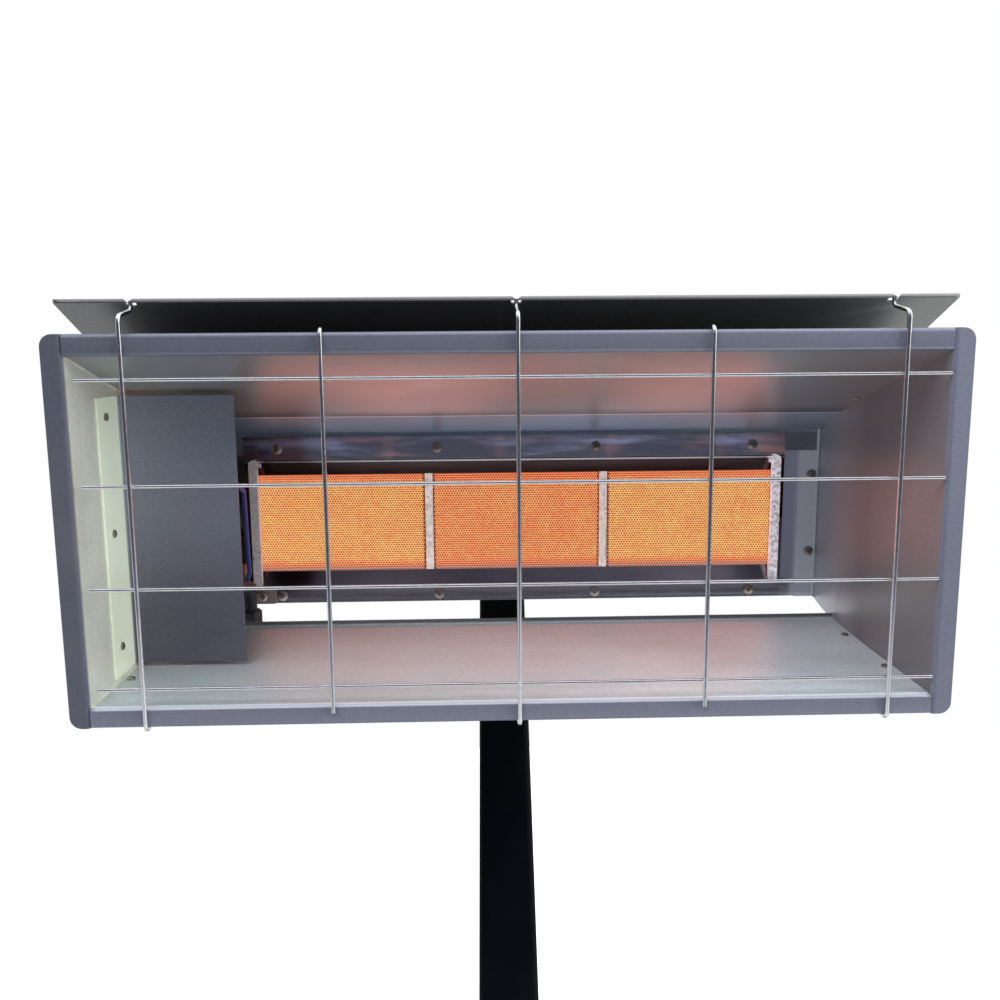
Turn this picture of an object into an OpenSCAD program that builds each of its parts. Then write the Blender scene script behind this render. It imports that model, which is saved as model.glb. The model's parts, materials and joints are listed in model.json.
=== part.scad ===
// Gas-fired radiant workshop heater: a sheet-steel hood with three ceramic plaques, a wire guard and a
// deflector, tilting on a floor stand with a tapered column.
// X runs to the right as seen from the front, Y runs to the back and Z up from the floor.
// The origin is on the floor, in the middle of the four anchor holes of the stand.
// Head pieces are drawn in the head's own frame and then tilted: there Y = 0 is the front face of the rim
// and Z = 0 is the middle of the mouth.

/* [Hood] */
// Inside width of the hood, between its end plates
hood_w = 500; // [470:5:540]
// Inside height of the hood at its mouth
mouth_h = 205; // [195:5:225]
// Width of the turned rim around the mouth
rim_w = 12; // [9:0.5:16]
// Depth of the hem that stiffens the outer edge of the rim
hem = 6; // [4:0.5:9]
// Thickness of the hood's sheet steel
sheet = 1; // [0.8:0.1:1.2]
// Inside radius of the folds in the hood's sheet
fold_r = 2.5; // [2:0.25:3.5]
// Depth from the rim to the face that carries the burner
hood_depth = 200; // [190:5:220]
// Distance from the burner's face forward to the fold at which the top panel turns steeper
top_fold = 37; // [30:1:50]
// Drop of the top panel from the mouth to that fold
top_drop = 46; // [36:1:52]
// Height of the top panel's rear edge above the middle of the mouth
throat_z = 40; // [36:1:44]
// Gap between the bottom panel's rear edge and the burner's face
floor_gap = 40; // [32:1:50]
// Distance from the bottom panel's rear edge forward to its shallow fold
floor_fold = 60; // [40:5:80]
// Rise of the bottom panel behind that fold
floor_rise = 1.3; // [0.5:0.1:2]
// Height of the lip along the bottom panel's rear edge
floor_lip = 4; // [3:0.5:6]
// Width of the end plates' rear flanges
rear_flange = 17; // [14:1:20]
// Radius of the rim's outer corners
rim_corner = 7; // [4:0.5:9]

/* [Deflector] */
// Width of the deflector plate that stands over the hood
deflector_w = 522; // [480:2:540]
// Depth of the deflector's front edge behind the rim's front face
deflector_y = 15; // [8:1:30]
// Height of the deflector's upper face over the rim, at its front edge
deflector_lift = 20.3; // [17:0.1:26]
// Depth of the fastening flange that lies on the rear cover
deflector_tab = 20; // [16:1:26]
// Height of the folded edge along the deflector's front
deflector_hem = 2; // [2:0.2:5]
// Width of the slots that take the guard's hooks
hook_slot_w = 6; // [4:0.5:8]
// Length of those slots
hook_slot_l = 10; // [8:0.5:14]

/* [Guard] */
// Diameter of the guard's upright wires
wire_d = 2.6; // [2.2:0.1:3.2]
// Diameter of the guard's level wires
level_d = 2.2; // [1.8:0.1:3]
// Distance between the upright wires
upright_pitch = 110; // [100:1:116]
// Distance between the level wires
level_pitch = 60; // [54:1:62]
// Length of the level wires
level_l = 494; // [460:2:496]
// Sideways shift of the guard from the hood's middle
guard_x = 2.6; // [0:0.1:4]
// Depth behind the rim's front face at which the hooks turn up into the deflector
hook_y = 20; // [19:0.5:28]

/* [Burner] */
// Number of ceramic plaques
plaque_n = 3; // [2:1:3]
// Length of one plaque
plaque_l = 132; // [126:1:134]
// Height of one plaque
plaque_h = 92; // [88:1:94]
// Thickness of one plaque
plaque_t = 13; // [11:0.5:14]
// Width of the fibre strip between two plaques
strip_w = 6; // [4:0.5:7]
// Sideways shift of the burner from the middle, which leaves room for the gas valve
burner_x = 10; // [6:1:13]
// Height of the burner's middle
burner_z = -30; // [-32:1:-28]
// Width of the frame's edge that laps over the plaques
frame_lap = 7.5; // [5:0.5:9]
// Depth of the dished frame in front of the plaques
dish = 5.4; // [3:0.2:7]
// Thickness of the frame's stainless sheet
frame_t = 0.8; // [0.6:0.1:1]
// Thickness of the fibre packing round the plaques
packing = 4; // [3:0.5:5]
// Depth of the mixing box behind the plaques
box_depth = 46; // [44:0.5:47]
// Outside diameter of the mixer tube
mixer_d = 24; // [20:0.5:25]

/* [Rear cover] */
// Depth of the rear cover behind the burner's face
cover_depth = 51; // [50:0.5:58]
// Number of vent slots in one row
slot_n = 7; // [5:1:8]
// Height of one vent slot
slot_h = 2; // [1.5:0.5:4]

/* [Valve side] */
// Distance of the shield plate in front of the gas valve's spindle axis
shield_front = 49; // [44:1:55]
// Width of the shield plate
shield_w = 74; // [66:1:76]
// Depth of the shield's fastening flange
shield_flange = 34; // [28:1:40]
// Distance of the gas valve's spindle axis in front of the burner's face
valve_front = 75; // [72:1:80]
// Diameter of the control knob
knob_d = 42; // [34:1:46]
// Travel of the control knob when it is pressed
knob_press = 4; // [3:0.5:5]
// Length of the igniter's body behind the end plate
igniter_l = 44; // [40:1:46]
// Diameter of the igniter's push button
button_d = 12; // [10:0.5:13]
// Travel of the igniter's push button
button_press = 6; // [4:0.5:7]
// Radius of the thread on the gas inlet
inlet_r = 6.58; // [6:0.01:7]
// Length of the thread on the gas inlet
inlet_l = 12; // [10:0.5:14]

/* [Stand] */
// Tilt of the head, nose down, in degrees
head_tilt = 20; // [0:1:28]
// Height of the tilt axis above the floor
pivot_h = 1150; // [900:10:1400]
// Distance from the rear cover back to the tilt axis
arm_l = 65; // [60:1:80]
// Diameter of the pivot bolt
bolt_d = 10; // [8:0.5:12]
// Width of the column at its top
col_top_w = 38; // [34:1:42]
// Width of the column at its foot
col_foot_w = 68; // [56:1:72]
// Depth of the column at its top
col_top_d = 34; // [30:1:38]
// Depth of the column at its foot
col_foot_d = 56; // [48:1:60]
// Wall of the column
col_wall = 2; // [1.5:0.25:3]
// Distance of the column behind the middle of the base
col_y = 60; // [30:5:80]
// Length of the base runners
runner_l = 540; // [480:10:640]
// Distance between the middles of the base runners
track = 440; // [400:10:520]
// Width of the runner tube
tube_w = 40; // [35:1:45]
// Height of the runner tube
tube_h = 30; // [25:1:35]
// Wall of the runner tube and cross beam
tube_wall = 2; // [1.5:0.25:3]
// Width of the cross beam
beam_w = 70; // [66:1:80]
// Thickness of the foot pads
pad_t = 4; // [3:0.5:6]
// Radius of the floor anchor holes
anchor_r = 4.5; // [4:0.25:6]

/* [Hidden] */
$fn = 48;

// Clearances: between a screw and its hole, a turning pair, and moving faces
hole_gap = 0.2;
run_gap = 0.06;
face_gap = 0.3;
fold_steps = 5;
tiny = 0.01;
knuckle = 0.07;
wall_past = 0.4;

// Heights in the head's frame
mouth_top = mouth_h / 2;
rim_top = mouth_top + rim_w;
half_w = hood_w / 2;
top_fold_y = hood_depth - top_fold;
floor_depth = hood_depth - floor_gap;
floor_fold_y = floor_depth - floor_fold;
top_slope = atan2(top_drop, top_fold_y);
top_fold_z = mouth_top - top_drop;
floor_z = -mouth_top;
wall_low = floor_z - 2 * sheet - wall_past;
wall_low_rear = floor_z + 5.5;
flange_y = hood_depth + sheet;

// Burner
plaques_l = plaque_n * plaque_l + (plaque_n - 1) * strip_w;
window_h = plaque_h - 2 * frame_lap;
band = 11.5;
window_top = burner_z + window_h / 2;
window_low = burner_z - window_h / 2;
frame_face = hood_depth - frame_t;
plaque_y = frame_face + dish + frame_t;
box_half_l = plaques_l / 2 + packing + sheet;
box_half_h = plaque_h / 2 + packing + sheet;
frame_half_l = box_half_l + 2;
flange_top = throat_z - 1.5;
rail_top = burner_z - box_half_h - 1;
rail_low = rail_top - 11;
burner_screw_z = (flange_top + window_top + band) / 2;
rail_screw_z = (rail_top + rail_low) / 2;
burner_screw_x = [for (k = [-1.5:1:1.5]) burner_x + k * 0.303 * plaques_l];
probe_screw_x = burner_x - box_half_l + 8;
mixer_y = plaque_y + plaque_t + mixer_d / 2 + 1.6;
mouth_x = burner_x - box_half_l - 14;

// Rear cover
cover_back = hood_depth + cover_depth;
cover_half = half_w - rear_flange;
cover_low = rail_low;
cover_top = throat_z + sheet;
slot_rows = [12, -58];
cover_screw_z = [5, -57];

// Valve side, on the left end plate
valve_x = -half_w + 27;
valve_y = hood_depth - valve_front;
shield_y = valve_y - shield_front;
valve_w = 34;
valve_d = 50;
valve_h = 36;
bush_r = 9;
collar_r = 6.15;
spindle_r = 3;
igniter_z = burner_z + 50;
igniter_r = 8;
shield_top = mouth_top - shield_y * tan(top_slope) - 4.2;
shield_low = floor_z + 3.2;
shield_screw_z = [65, -8, -81];
probe_x = -half_w + 47;
electrode_x = -half_w + 31;
probe_y = frame_face - 8;
shelf_z = rail_top - 4;
inlet_x = -half_w + 54;
inlet_y = floor_depth + floor_gap * 0.4;

// Tilt joint
pivot_y = cover_back + arm_l;
pivot_z = burner_z;
bolt_r = bolt_d / 2;
yoke_half = col_top_w / 2 + 4;
yoke_t = 4;
disc_t = 2;
ear_in = yoke_half + disc_t + face_gap;
ear_t = 3;
ear_out = ear_in + ear_t;
ear_r = 16;
bracket_x = 48;
bracket_z = 32;
yoke_rise = 46;
cap_t = 4;

// Stand
runner_top = pad_t + tube_h;
plate_t = 5;
col_foot_z = runner_top + plate_t;
col_top_z = pivot_h - yoke_rise - yoke_t - cap_t;
pad_l = 60;
pad_out = 35;
joint_reach = 70;
joint_d = 96;
joint_t = 4;
anchor_x = track / 2 + tube_w / 2 + pad_out / 2;
anchor_y = runner_l / 2 - pad_l / 2 - 5;

// Plane geometry for folded sheet: a path is rounded at its corners and then given a thickness
function unit(v) = v / norm(v);
function left_of(v) = [-v[1], v[0]];
function turned(v, a) = [v[0] * cos(a) - v[1] * sin(a), v[0] * sin(a) + v[1] * cos(a)];
function corner(a, b, c, r) =
  let (u = unit(b - a), w = unit(c - b))
  let (turn = atan2(u[0] * w[1] - u[1] * w[0], u * w))
  let (start = b - u * r * tan(abs(turn) / 2), centre = start + sign(turn) * r * left_of(u))
  [for (k = [0:fold_steps]) centre + turned(start - centre, turn * k / fold_steps)];
function fold_path(p, r) = [
  for (i = [0:len(p) - 1])
    each (i == 0 || i == len(p) - 1) ? [p[i]] : corner(p[i - 1], p[i], p[i + 1], r)
];
function shifted(p, t) = [
  for (i = [0:len(p) - 1])
    let (n1 = left_of(unit(p[max(i, 1)] - p[max(i, 1) - 1])))
    let (n2 = left_of(unit(p[min(i + 1, len(p) - 1)] - p[min(i, len(p) - 2)])))
    p[i] + t * (n1 + n2) / (1 + n1 * n2)
];
function folded(p, t, r) =
  let (q = fold_path(p, r), s = shifted(q, t))
  concat(q, [for (i = [len(s) - 1:-1:0]) s[i]]);
function arc(c, r, a0, a1, n) = [
  for (k = [0:n]) c + r * [cos(a0 + (a1 - a0) * k / n), sin(a0 + (a1 - a0) * k / n)]
];

// A rectangle with round corners, centred on the origin
module rounded(w, h, r) {
  square([w - 2 * r, h], center = true);
  square([w, h - 2 * r], center = true);
  for (x = [-1, 1])
    for (y = [-1, 1])
      translate([x * (w / 2 - r), y * (h / 2 - r)])
        circle(r = r);
}

// A side outline in Y and Z, drawn from x0 to x1
module across(x0, x1) {
  translate([x0, 0, 0])
    rotate([90, 0, 90])
      linear_extrude(x1 - x0)
        children();
}

// A front outline in X and Z, drawn from y0 to y1
module facing(y0, y1) {
  translate([0, y1, 0])
    rotate([90, 0, 0])
      linear_extrude(y1 - y0)
        children();
}

// A block between two opposite corners
module block(a, b) {
  translate(a)
    cube(b - a);
}

// A round bar between two points
module rod(a, b, r) {
  d = b - a;
  translate(a)
    rotate([0, acos(d[2] / norm(d)), atan2(d[1], d[0])])
      cylinder(r = r, h = norm(d));
}

// A bent wire or pipe along a list of points, with a slightly swollen knuckle at each bend
module wire(p, r) {
  for (i = [0:len(p) - 2])
    rod(p[i], p[i + 1], r);
  if (len(p) > 2)
    for (i = [1:len(p) - 2])
      translate(p[i])
        sphere(r = r + knuckle);
}

// A screw whose head sits on Z = 0 and whose shank points down
module screw(head_r, head_h, shank_r, shank_l) {
  rotate_extrude()
    polygon([
      [0, -shank_l], [shank_r, -shank_l], [shank_r, 0], [head_r, 0], [head_r, head_h * 0.45],
      [head_r * 0.78, head_h * 0.85], [head_r * 0.4, head_h], [0, head_h]
    ]);
}

// A hexagon bolt head or nut of the given width across flats, standing on Z = 0
module hexagon(flats, h) {
  cylinder(r = flats / sqrt(3), h = h, $fn = 6);
}

// Puts pieces drawn in the head's frame at the tilt axis
module on_head() {
  translate([0, col_y, pivot_h])
    rotate([head_tilt, 0, 0])
      translate([0, -pivot_y, -pivot_z])
        children();
}

// Puts pieces drawn round the tilt axis in place
module on_pivot() {
  translate([0, col_y, pivot_h])
    children();
}

// Puts a piece on the top panel's upper face, at x and at a depth along the hood
module on_top_panel(x, y) {
  translate([x, y, mouth_top - y * tan(top_slope) + sheet / cos(top_slope)])
    rotate([-top_slope, 0, 0])
      children();
}

// Height of the bottom panel's upper face at a depth, and its slope behind the shallow fold
function floor_at(y) =
  floor_z + max(0, y - floor_fold_y) * floor_rise / (floor_depth - floor_fold_y);
floor_slope = atan2(floor_rise, floor_depth - floor_fold_y);

// Puts a piece on the bottom panel's upper face, at x and at a depth along the hood
module on_floor_panel(x, y) {
  translate([x, y, floor_at(y)])
    rotate([y > floor_fold_y ? floor_slope : 0, 0, 0])
      children();
}

// Screw places
lap_w = 9.5;
lap_y0 = 14;
lap_y1 = floor_depth - 12;
seam_x = half_w - 6;
seam_y = [lap_y0 + 38, lap_y1 - 28];
deflector_screw_x = [-200, 0, 200];
cover_fold_r = 4;
deflector_land_y = cover_back - sheet - cover_fold_r - deflector_tab - 2;
deflector_land_z = cover_top + sheet;
deflector_screw_y = deflector_land_y + deflector_tab / 2;
deflector_inner_y = deflector_y + sheet;
deflector_slope = atan2(
  rim_top + deflector_lift - sheet - deflector_land_z, deflector_land_y - deflector_inner_y
);

module top_panel() {
  color("slategray")
    on_head()
      difference() {
        across(-half_w, half_w)
          polygon(folded([
            [hem, rim_top], [0, rim_top], [0, mouth_top], [top_fold_y, top_fold_z],
            [hood_depth, throat_z], [hood_depth, throat_z - 16]
          ], sheet, fold_r));
        for (s = [-1, 1])
          translate([s * half_w, hood_depth, throat_z - 20])
            cube([2 * (fold_r + sheet), 2 * (fold_r + sheet), 60], center = true);
        for (x = [-seam_x, seam_x])
          for (y = seam_y)
            on_top_panel(x, y)
              translate([0, 0, -4])
                cylinder(r = 1.8 + hole_gap, h = 8);
        for (x = burner_screw_x)
          translate([x, hood_depth + 3, burner_screw_z])
            rotate([90, 0, 0])
              cylinder(r = 2 + hole_gap, h = 6);
      }
}

module bottom_panel() {
  color("slategray")
    on_head()
      difference() {
        across(-half_w, half_w)
          polygon(folded([
            [floor_depth, floor_z + floor_rise + floor_lip], [floor_depth, floor_z + floor_rise],
            [floor_fold_y, floor_z], [0, floor_z], [0, -rim_top], [hem, -rim_top]
          ], sheet, fold_r * 0.8));
        for (x = [-seam_x, seam_x])
          for (y = seam_y)
            on_floor_panel(x, y)
              translate([0, 0, -5])
                cylinder(r = 1.8 + hole_gap, h = 10);
      }
}

// Side outline of an end plate's wall, from the rim to the rear fold
module end_outline() {
  lap = (2 * sheet + wall_past) / cos(top_slope);
  bend_y = sheet + fold_r;
  polygon(concat(
    [[-1, rim_top], [-1, -rim_top], [bend_y, -rim_top], [bend_y, wall_low], [floor_fold_y, wall_low]],
    [[floor_depth, wall_low + floor_rise]],
    arc([flange_y + sheet - 6, wall_low_rear + 6], 6, -80, 0, 5),
    [
      [flange_y + sheet, throat_z + lap], [hood_depth, throat_z + lap],
      [top_fold_y, top_fold_z + lap], [bend_y, mouth_top - bend_y * tan(top_slope) + lap],
      [bend_y, rim_top]
    ]
  ));
}

// The right end plate: wall, rim flange, rear flange and the two fastening strips
module end_plate_solid() {
  difference() {
    union() {
      intersection() {
        translate([0, 0, -rim_top])
          linear_extrude(2 * rim_top)
            polygon(folded([
              [half_w + rim_w, 0], [half_w, 0], [half_w, flange_y], [half_w - rear_flange, flange_y]
            ], -sheet, fold_r));
        across(half_w - rear_flange - 1, half_w + rim_w + 1)
          end_outline();
        facing(-1, flange_y + 2)
          polygon(concat(
            [[half_w - rear_flange - 1, -rim_top]],
            arc([half_w + rim_w - rim_corner, rim_corner - rim_top], rim_corner, 270, 360, 6),
            arc([half_w + rim_w - rim_corner, rim_top - rim_corner], rim_corner, 0, 90, 6),
            [[half_w - rear_flange - 1, rim_top]]
          ));
      }
      across(half_w - lap_w, half_w + sheet)
        polygon([
          for (p = [[lap_y0, 1], [lap_y1, 1], [lap_y1, 2], [lap_y0, 2]])
            [p[0], mouth_top - p[0] * tan(top_slope) + p[1] * sheet / cos(top_slope)]
        ]);
      across(half_w - lap_w, half_w + sheet)
        polygon([
          [lap_y0, floor_z - sheet], [floor_fold_y, floor_z - sheet], [lap_y1, floor_at(lap_y1) - sheet],
          [lap_y1, floor_at(lap_y1) - 2 * sheet], [floor_fold_y, floor_z - 2 * sheet],
          [lap_y0, floor_z - 2 * sheet]
        ]);
    }
    for (y = seam_y) {
      on_top_panel(seam_x, y)
        translate([0, 0, -4])
          cylinder(r = 1.8 + hole_gap, h = 8);
      on_floor_panel(seam_x, y)
        translate([0, 0, -5])
          cylinder(r = 1.8 + hole_gap, h = 10);
    }
    for (z = cover_screw_z)
      translate([half_w - 6.5, flange_y + 3, z])
        rotate([90, 0, 0])
          cylinder(r = 2 + hole_gap, h = 6);
  }
}

module right_end_plate() {
  color("slategray")
    on_head()
      end_plate_solid();
}

module left_end_plate() {
  color("slategray")
    on_head()
      difference() {
        mirror([1, 0, 0])
          end_plate_solid();
        for (z = shield_screw_z)
          translate([-half_w - 4, shield_y - shield_flange * 0.66, z])
            rotate([0, 90, 0])
              cylinder(r = 1.8 + hole_gap, h = 8);
        translate([-half_w - 4, valve_y, burner_z])
          rotate([0, 90, 0])
            cylinder(r = bush_r + hole_gap, h = 8);
        translate([-half_w - 4, valve_y, igniter_z])
          rotate([0, 90, 0])
            cylinder(r = igniter_r + hole_gap, h = 8);
      }
}

// Height of the deflector's underside at a depth
function deflector_z(y) = deflector_land_z + (deflector_land_y - y) * tan(deflector_slope);

// A hole for one of the deflector's screws, at the height of its flange
module deflector_screw_hole(x) {
  translate([x, deflector_screw_y, deflector_land_z - 4])
    cylinder(r = 1.8 + hole_gap, h = 8);
}

// Deflector: a plate that stands over the hood, with a folded front edge and a flange at its rear
module deflector() {
  front_z = deflector_z(deflector_inner_y);
  color("dimgray")
    on_head()
      difference() {
        intersection() {
          across(-deflector_w / 2, deflector_w / 2)
            polygon(folded([
              [deflector_inner_y, front_z - deflector_hem], [deflector_inner_y, front_z],
              [deflector_land_y, deflector_land_z], [deflector_land_y + deflector_tab, deflector_land_z]
            ], sheet, sheet + 0.1));
          linear_extrude(2 * rim_top)
            translate([0, deflector_y + cover_back])
              rounded(deflector_w, 2 * cover_back, 6);
        }
        for (k = [-2, 0, 2])
          translate([guard_x + k * upright_pitch, hook_y, deflector_z(hook_y) - 5])
            linear_extrude(10)
              rounded(hook_slot_w, hook_slot_l, hook_slot_w / 2 - 0.1);
        for (x = deflector_screw_x)
          deflector_screw_hole(x);
      }
}

module deflector_screws() {
  color("silver")
    on_head()
      for (x = deflector_screw_x)
        translate([x, deflector_screw_y, deflector_land_z + sheet])
          screw(4, 2.4, 1.8, 5);
}

// The welded guard: five upright wires, three of them hooked into the deflector, before four level wires
module wire_guard() {
  r = wire_d / 2;
  y = -r - face_gap;
  under = -rim_top - r - face_gap;
  over = rim_top + r + face_gap;
  behind = hem + r + 2 * face_gap;
  end_z = deflector_z(hook_y) + 0.8;
  back_z = end_z - 5;
  level_y = y + r + level_d / 2 - 0.3;
  color("gainsboro")
    on_head()
      translate([guard_x, 0, 0]) {
        for (k = [-2, 0, 2]) {
          x = k * upright_pitch;
          wire([
            [x, hook_y, end_z], [x, hook_y, back_z], [x, y, back_z - 4], [x, y, under],
            [x, behind, under], [x, behind, under + 8]
          ], r);
        }
        for (k = [-1, 1]) {
          x = k * upright_pitch;
          wire([[x, 2.8, over], [x, y, over], [x, y, floor_z - 4]], r);
        }
        for (k = [-1.5:1:1.5])
          translate([-level_l / 2, level_y, k * level_pitch - 1])
            rotate([0, 90, 0])
              cylinder(r = level_d / 2, h = level_l);
      }
}

module seam_screws() {
  color("silver")
    on_head()
      for (x = [-seam_x, seam_x])
        for (y = seam_y) {
          on_floor_panel(x, y)
            screw(3.2, 1.8, 1.8, 5);
          on_top_panel(x, y)
            translate([0, 0, -sheet])
              mirror([0, 0, 1])
                screw(3.2, 1.8, 1.8, 5);
        }
}

// Cross rail below the burner, folded to a channel between the end plates
module lower_rail() {
  color("slategray")
    on_head()
      difference() {
        union() {
          across(-cover_half + 1.5, cover_half - 1.5)
            polygon(folded([
              [hood_depth + 14, rail_low], [hood_depth, rail_low], [hood_depth, rail_top],
              [hood_depth + 14, rail_top]
            ], -sheet, 2));
          block(
            [-half_w + fold_r + sheet, hood_depth, rail_low + 2],
            [half_w - fold_r - sheet, hood_depth + sheet, rail_top - 2]
          );
        }
        for (x = concat(burner_screw_x, [probe_screw_x]))
          translate([x, hood_depth + 3, rail_screw_z])
            rotate([90, 0, 0])
              cylinder(r = 2 + hole_gap, h = 6);
      }
}

// Rear cover: a folded pan with two rows of vent slots and side flanges behind the end plates
module rear_cover() {
  front = flange_y + sheet;
  slot_l = (2 * cover_half - 40) / slot_n - 14;
  color("slategray")
    on_head()
      difference() {
        union() {
          across(-cover_half, cover_half)
            polygon(folded([
              [front, cover_top], [cover_back - sheet, cover_top],
              [cover_back - sheet, cover_low], [front, cover_low]
            ], sheet, cover_fold_r));
          for (s = [0, 1])
            mirror([s, 0, 0]) {
              translate([0, 0, cover_low - sheet])
                linear_extrude(cover_top - cover_low + 2 * sheet)
                  polygon(folded([
                    [half_w - tiny, front], [cover_half - sheet, front],
                    [cover_half - sheet, cover_back]
                  ], -sheet, 1.5));
            }
        }
        for (z = slot_rows)
          for (k = [0:slot_n - 1])
            facing(cover_back - 4, cover_back + 2)
              translate([(k - (slot_n - 1) / 2) * (slot_l + 14), z])
                rounded(slot_l, slot_h, slot_h / 2 - 0.1);
        for (x = deflector_screw_x)
          deflector_screw_hole(x);
        for (s = [-1, 1])
          for (z = cover_screw_z)
            translate([s * (half_w - 6.5), front + 3, z])
              rotate([90, 0, 0])
                cylinder(r = 2 + hole_gap, h = 6);
        for (x = [-bracket_x, bracket_x])
          for (z = [-bracket_z, bracket_z])
            translate([x, cover_back + 2, pivot_z + z])
              rotate([90, 0, 0])
                cylinder(r = 3 + hole_gap, h = 8);
      }
}

module cover_screws() {
  color("silver")
    on_head()
      for (s = [-1, 1])
        for (z = cover_screw_z)
          translate([s * (half_w - 6.5), flange_y, z])
            rotate([90, 0, 0]) {
              screw(4.6, 3.2, 2, 6);
            }
}

// Shield in front of the gas valve, fastened to the left end plate
module valve_shield() {
  color("slategray")
    on_head()
      difference() {
        translate([0, 0, shield_low])
          linear_extrude(shield_top - shield_low)
            polygon(folded([
              [-half_w + sheet, shield_y - shield_flange], [-half_w + sheet, shield_y],
              [-half_w + shield_w, shield_y]
            ], sheet, fold_r));
        for (z = shield_screw_z)
          translate([-half_w - 4, shield_y - shield_flange * 0.66, z])
            rotate([0, 90, 0])
              cylinder(r = 1.8 + hole_gap, h = 8);
      }
}

module shield_screws() {
  color("silver")
    on_head()
      for (z = shield_screw_z)
        translate([-half_w + sheet, shield_y - shield_flange * 0.66, z])
          rotate([0, 90, 0])
            screw(3, 1.6, 1.8, 5);
}

// Polished frame: two dished strips that hold the plaques, joined by end walls
module burner_frame() {
  top_z = window_top + band;
  low_z = window_low - band;
  color("lightsteelblue")
    on_head()
      difference() {
        union() {
          across(burner_x - frame_half_l, burner_x + frame_half_l)
            polygon(folded([
              [frame_face, flange_top], [frame_face, top_z], [frame_face + dish, window_top]
            ], frame_t, 1.2));
          across(burner_x - frame_half_l, burner_x + frame_half_l)
            polygon(folded([
              [frame_face + dish, window_low], [frame_face, low_z], [frame_face, rail_low + 0.5]
            ], frame_t, 1.2));
          for (s = [0, 1])
            translate([burner_x, 0, 0])
              mirror([s, 0, 0]) {
                block(
                  [plaques_l / 2 - 2, frame_face, low_z - 1], [frame_half_l, hood_depth, top_z + 1]
                );
                block(
                  [plaques_l / 2 - 2, frame_face, window_low + 1],
                  [plaques_l / 2 - 2 + frame_t, plaque_y - 0.1, window_top - 1]
                );
              }
        }
        for (x = burner_screw_x)
          for (z = [burner_screw_z, rail_screw_z])
            translate([x, hood_depth + 3, z])
              rotate([90, 0, 0])
                cylinder(r = 2 + hole_gap, h = 6);
        translate([probe_screw_x, hood_depth + 3, rail_screw_z])
          rotate([90, 0, 0])
            cylinder(r = 2 + hole_gap, h = 6);
        for (s = [0, 1])
          translate([burner_x, 0, 0])
            mirror([s, 0, 0])
              block(
                [box_half_l - sheet - hole_gap, hood_depth, low_z - 2],
                [frame_half_l + 1, plaque_y + 1, top_z + 2]
              );
      }
}

// Rounded bar that closes one end of the burner frame
module end_bar(s) {
  bar_w = 6.5;
  x = burner_x + s * (plaques_l / 2 - 3.4 + bar_w / 2);
  top_z = window_top + band + 1;
  low_z = window_low - band;
  color("gainsboro")
    on_head() {
      facing(frame_face - 4.5, frame_face)
        translate([x, (top_z + low_z) / 2])
          rounded(bar_w, top_z - low_z, bar_w / 2 - 0.1);
      translate([x - s * 6, frame_face - 3, top_z - 4])
        rotate([0, s * 90, 0])
          cylinder(r = 1.6, h = 6);
    }
}

module left_end_bar() {
  end_bar(-1);
}

module right_end_bar() {
  end_bar(1);
}

// One ceramic plaque, counted from the left
module plaque(k) {
  x = burner_x + (k - (plaque_n - 1) / 2) * (plaque_l + strip_w);
  color("orange")
    on_head()
      facing(plaque_y, plaque_y + plaque_t)
        translate([x, burner_z])
          rounded(plaque_l, plaque_h, 2);
}

module left_plaque() {
  plaque(0);
}

module centre_plaque() {
  plaque((plaque_n - 1) / 2);
}

module right_plaque() {
  plaque(plaque_n - 1);
}

// Fibre packing round the plaques, with a strip between neighbours
module plaque_packing() {
  pitch = plaque_l + strip_w;
  color("whitesmoke")
    on_head()
      difference() {
        facing(plaque_y, plaque_y + plaque_t)
          translate([burner_x, burner_z])
            rounded(plaques_l + 2 * packing, plaque_h + 2 * packing, 2);
        for (k = [0:plaque_n - 1])
          facing(plaque_y - 1, plaque_y + plaque_t + 1)
            translate([burner_x + (k - (plaque_n - 1) / 2) * pitch, burner_z])
              rounded(plaque_l, plaque_h, 2);
      }
}

// Sheet box behind the plaques, in which gas and air mix
module mixing_box() {
  back = hood_depth + box_depth;
  chamfer = 10;
  color("darkgray")
    on_head()
      difference() {
        across(burner_x - box_half_l, burner_x + box_half_l)
          translate([0, burner_z])
            polygon([
              [hood_depth, box_half_h], [hood_depth, -box_half_h], [back - chamfer, -box_half_h],
              [back, -box_half_h + chamfer], [back, box_half_h - chamfer], [back - chamfer, box_half_h]
            ]);
        across(burner_x - box_half_l + sheet, burner_x + box_half_l - sheet)
          translate([0, burner_z])
            polygon([
              [hood_depth - 1, box_half_h - sheet], [hood_depth - 1, sheet - box_half_h],
              [back - chamfer, sheet - box_half_h], [back - sheet, -box_half_h + chamfer],
              [back - sheet, box_half_h - chamfer], [back - chamfer, box_half_h - sheet]
            ]);
        translate([burner_x - box_half_l - 1, mixer_y, burner_z])
          rotate([0, 90, 0])
            cylinder(r = mixer_d / 2 + hole_gap, h = 4);
      }
}

// Mixer tube with a bell mouth and a throat, lying inside the mixing box
module mixer_tube() {
  r = mixer_d / 2;
  length = plaques_l * 0.6;
  color("darkgray")
    on_head()
      translate([mouth_x, mixer_y, burner_z])
        rotate([0, 90, 0])
          rotate_extrude()
            polygon(concat(
              [[r + 3, 0], [r, 7], [r, length], [r - 1.2, length], [r - 1.2, 62], [r * 0.6, 16]],
              arc([r * 0.6 + 9, 9], 9, 180, 250, 5),
              [[r + 1.8, 0]]
            ));
}

module burner_screws() {
  color("silver")
    on_head()
      for (x = burner_screw_x)
        for (z = [burner_screw_z, rail_screw_z])
          translate([x, frame_face, z])
            rotate([90, 0, 0])
              screw(4, 2.6, 2, 6);
}

module probe_screw() {
  color("silver")
    on_head()
      translate([probe_screw_x, frame_face - 1.5, rail_screw_z])
        rotate([90, 0, 0])
          screw(3.6, 2.2, 2, 7);
}

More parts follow.
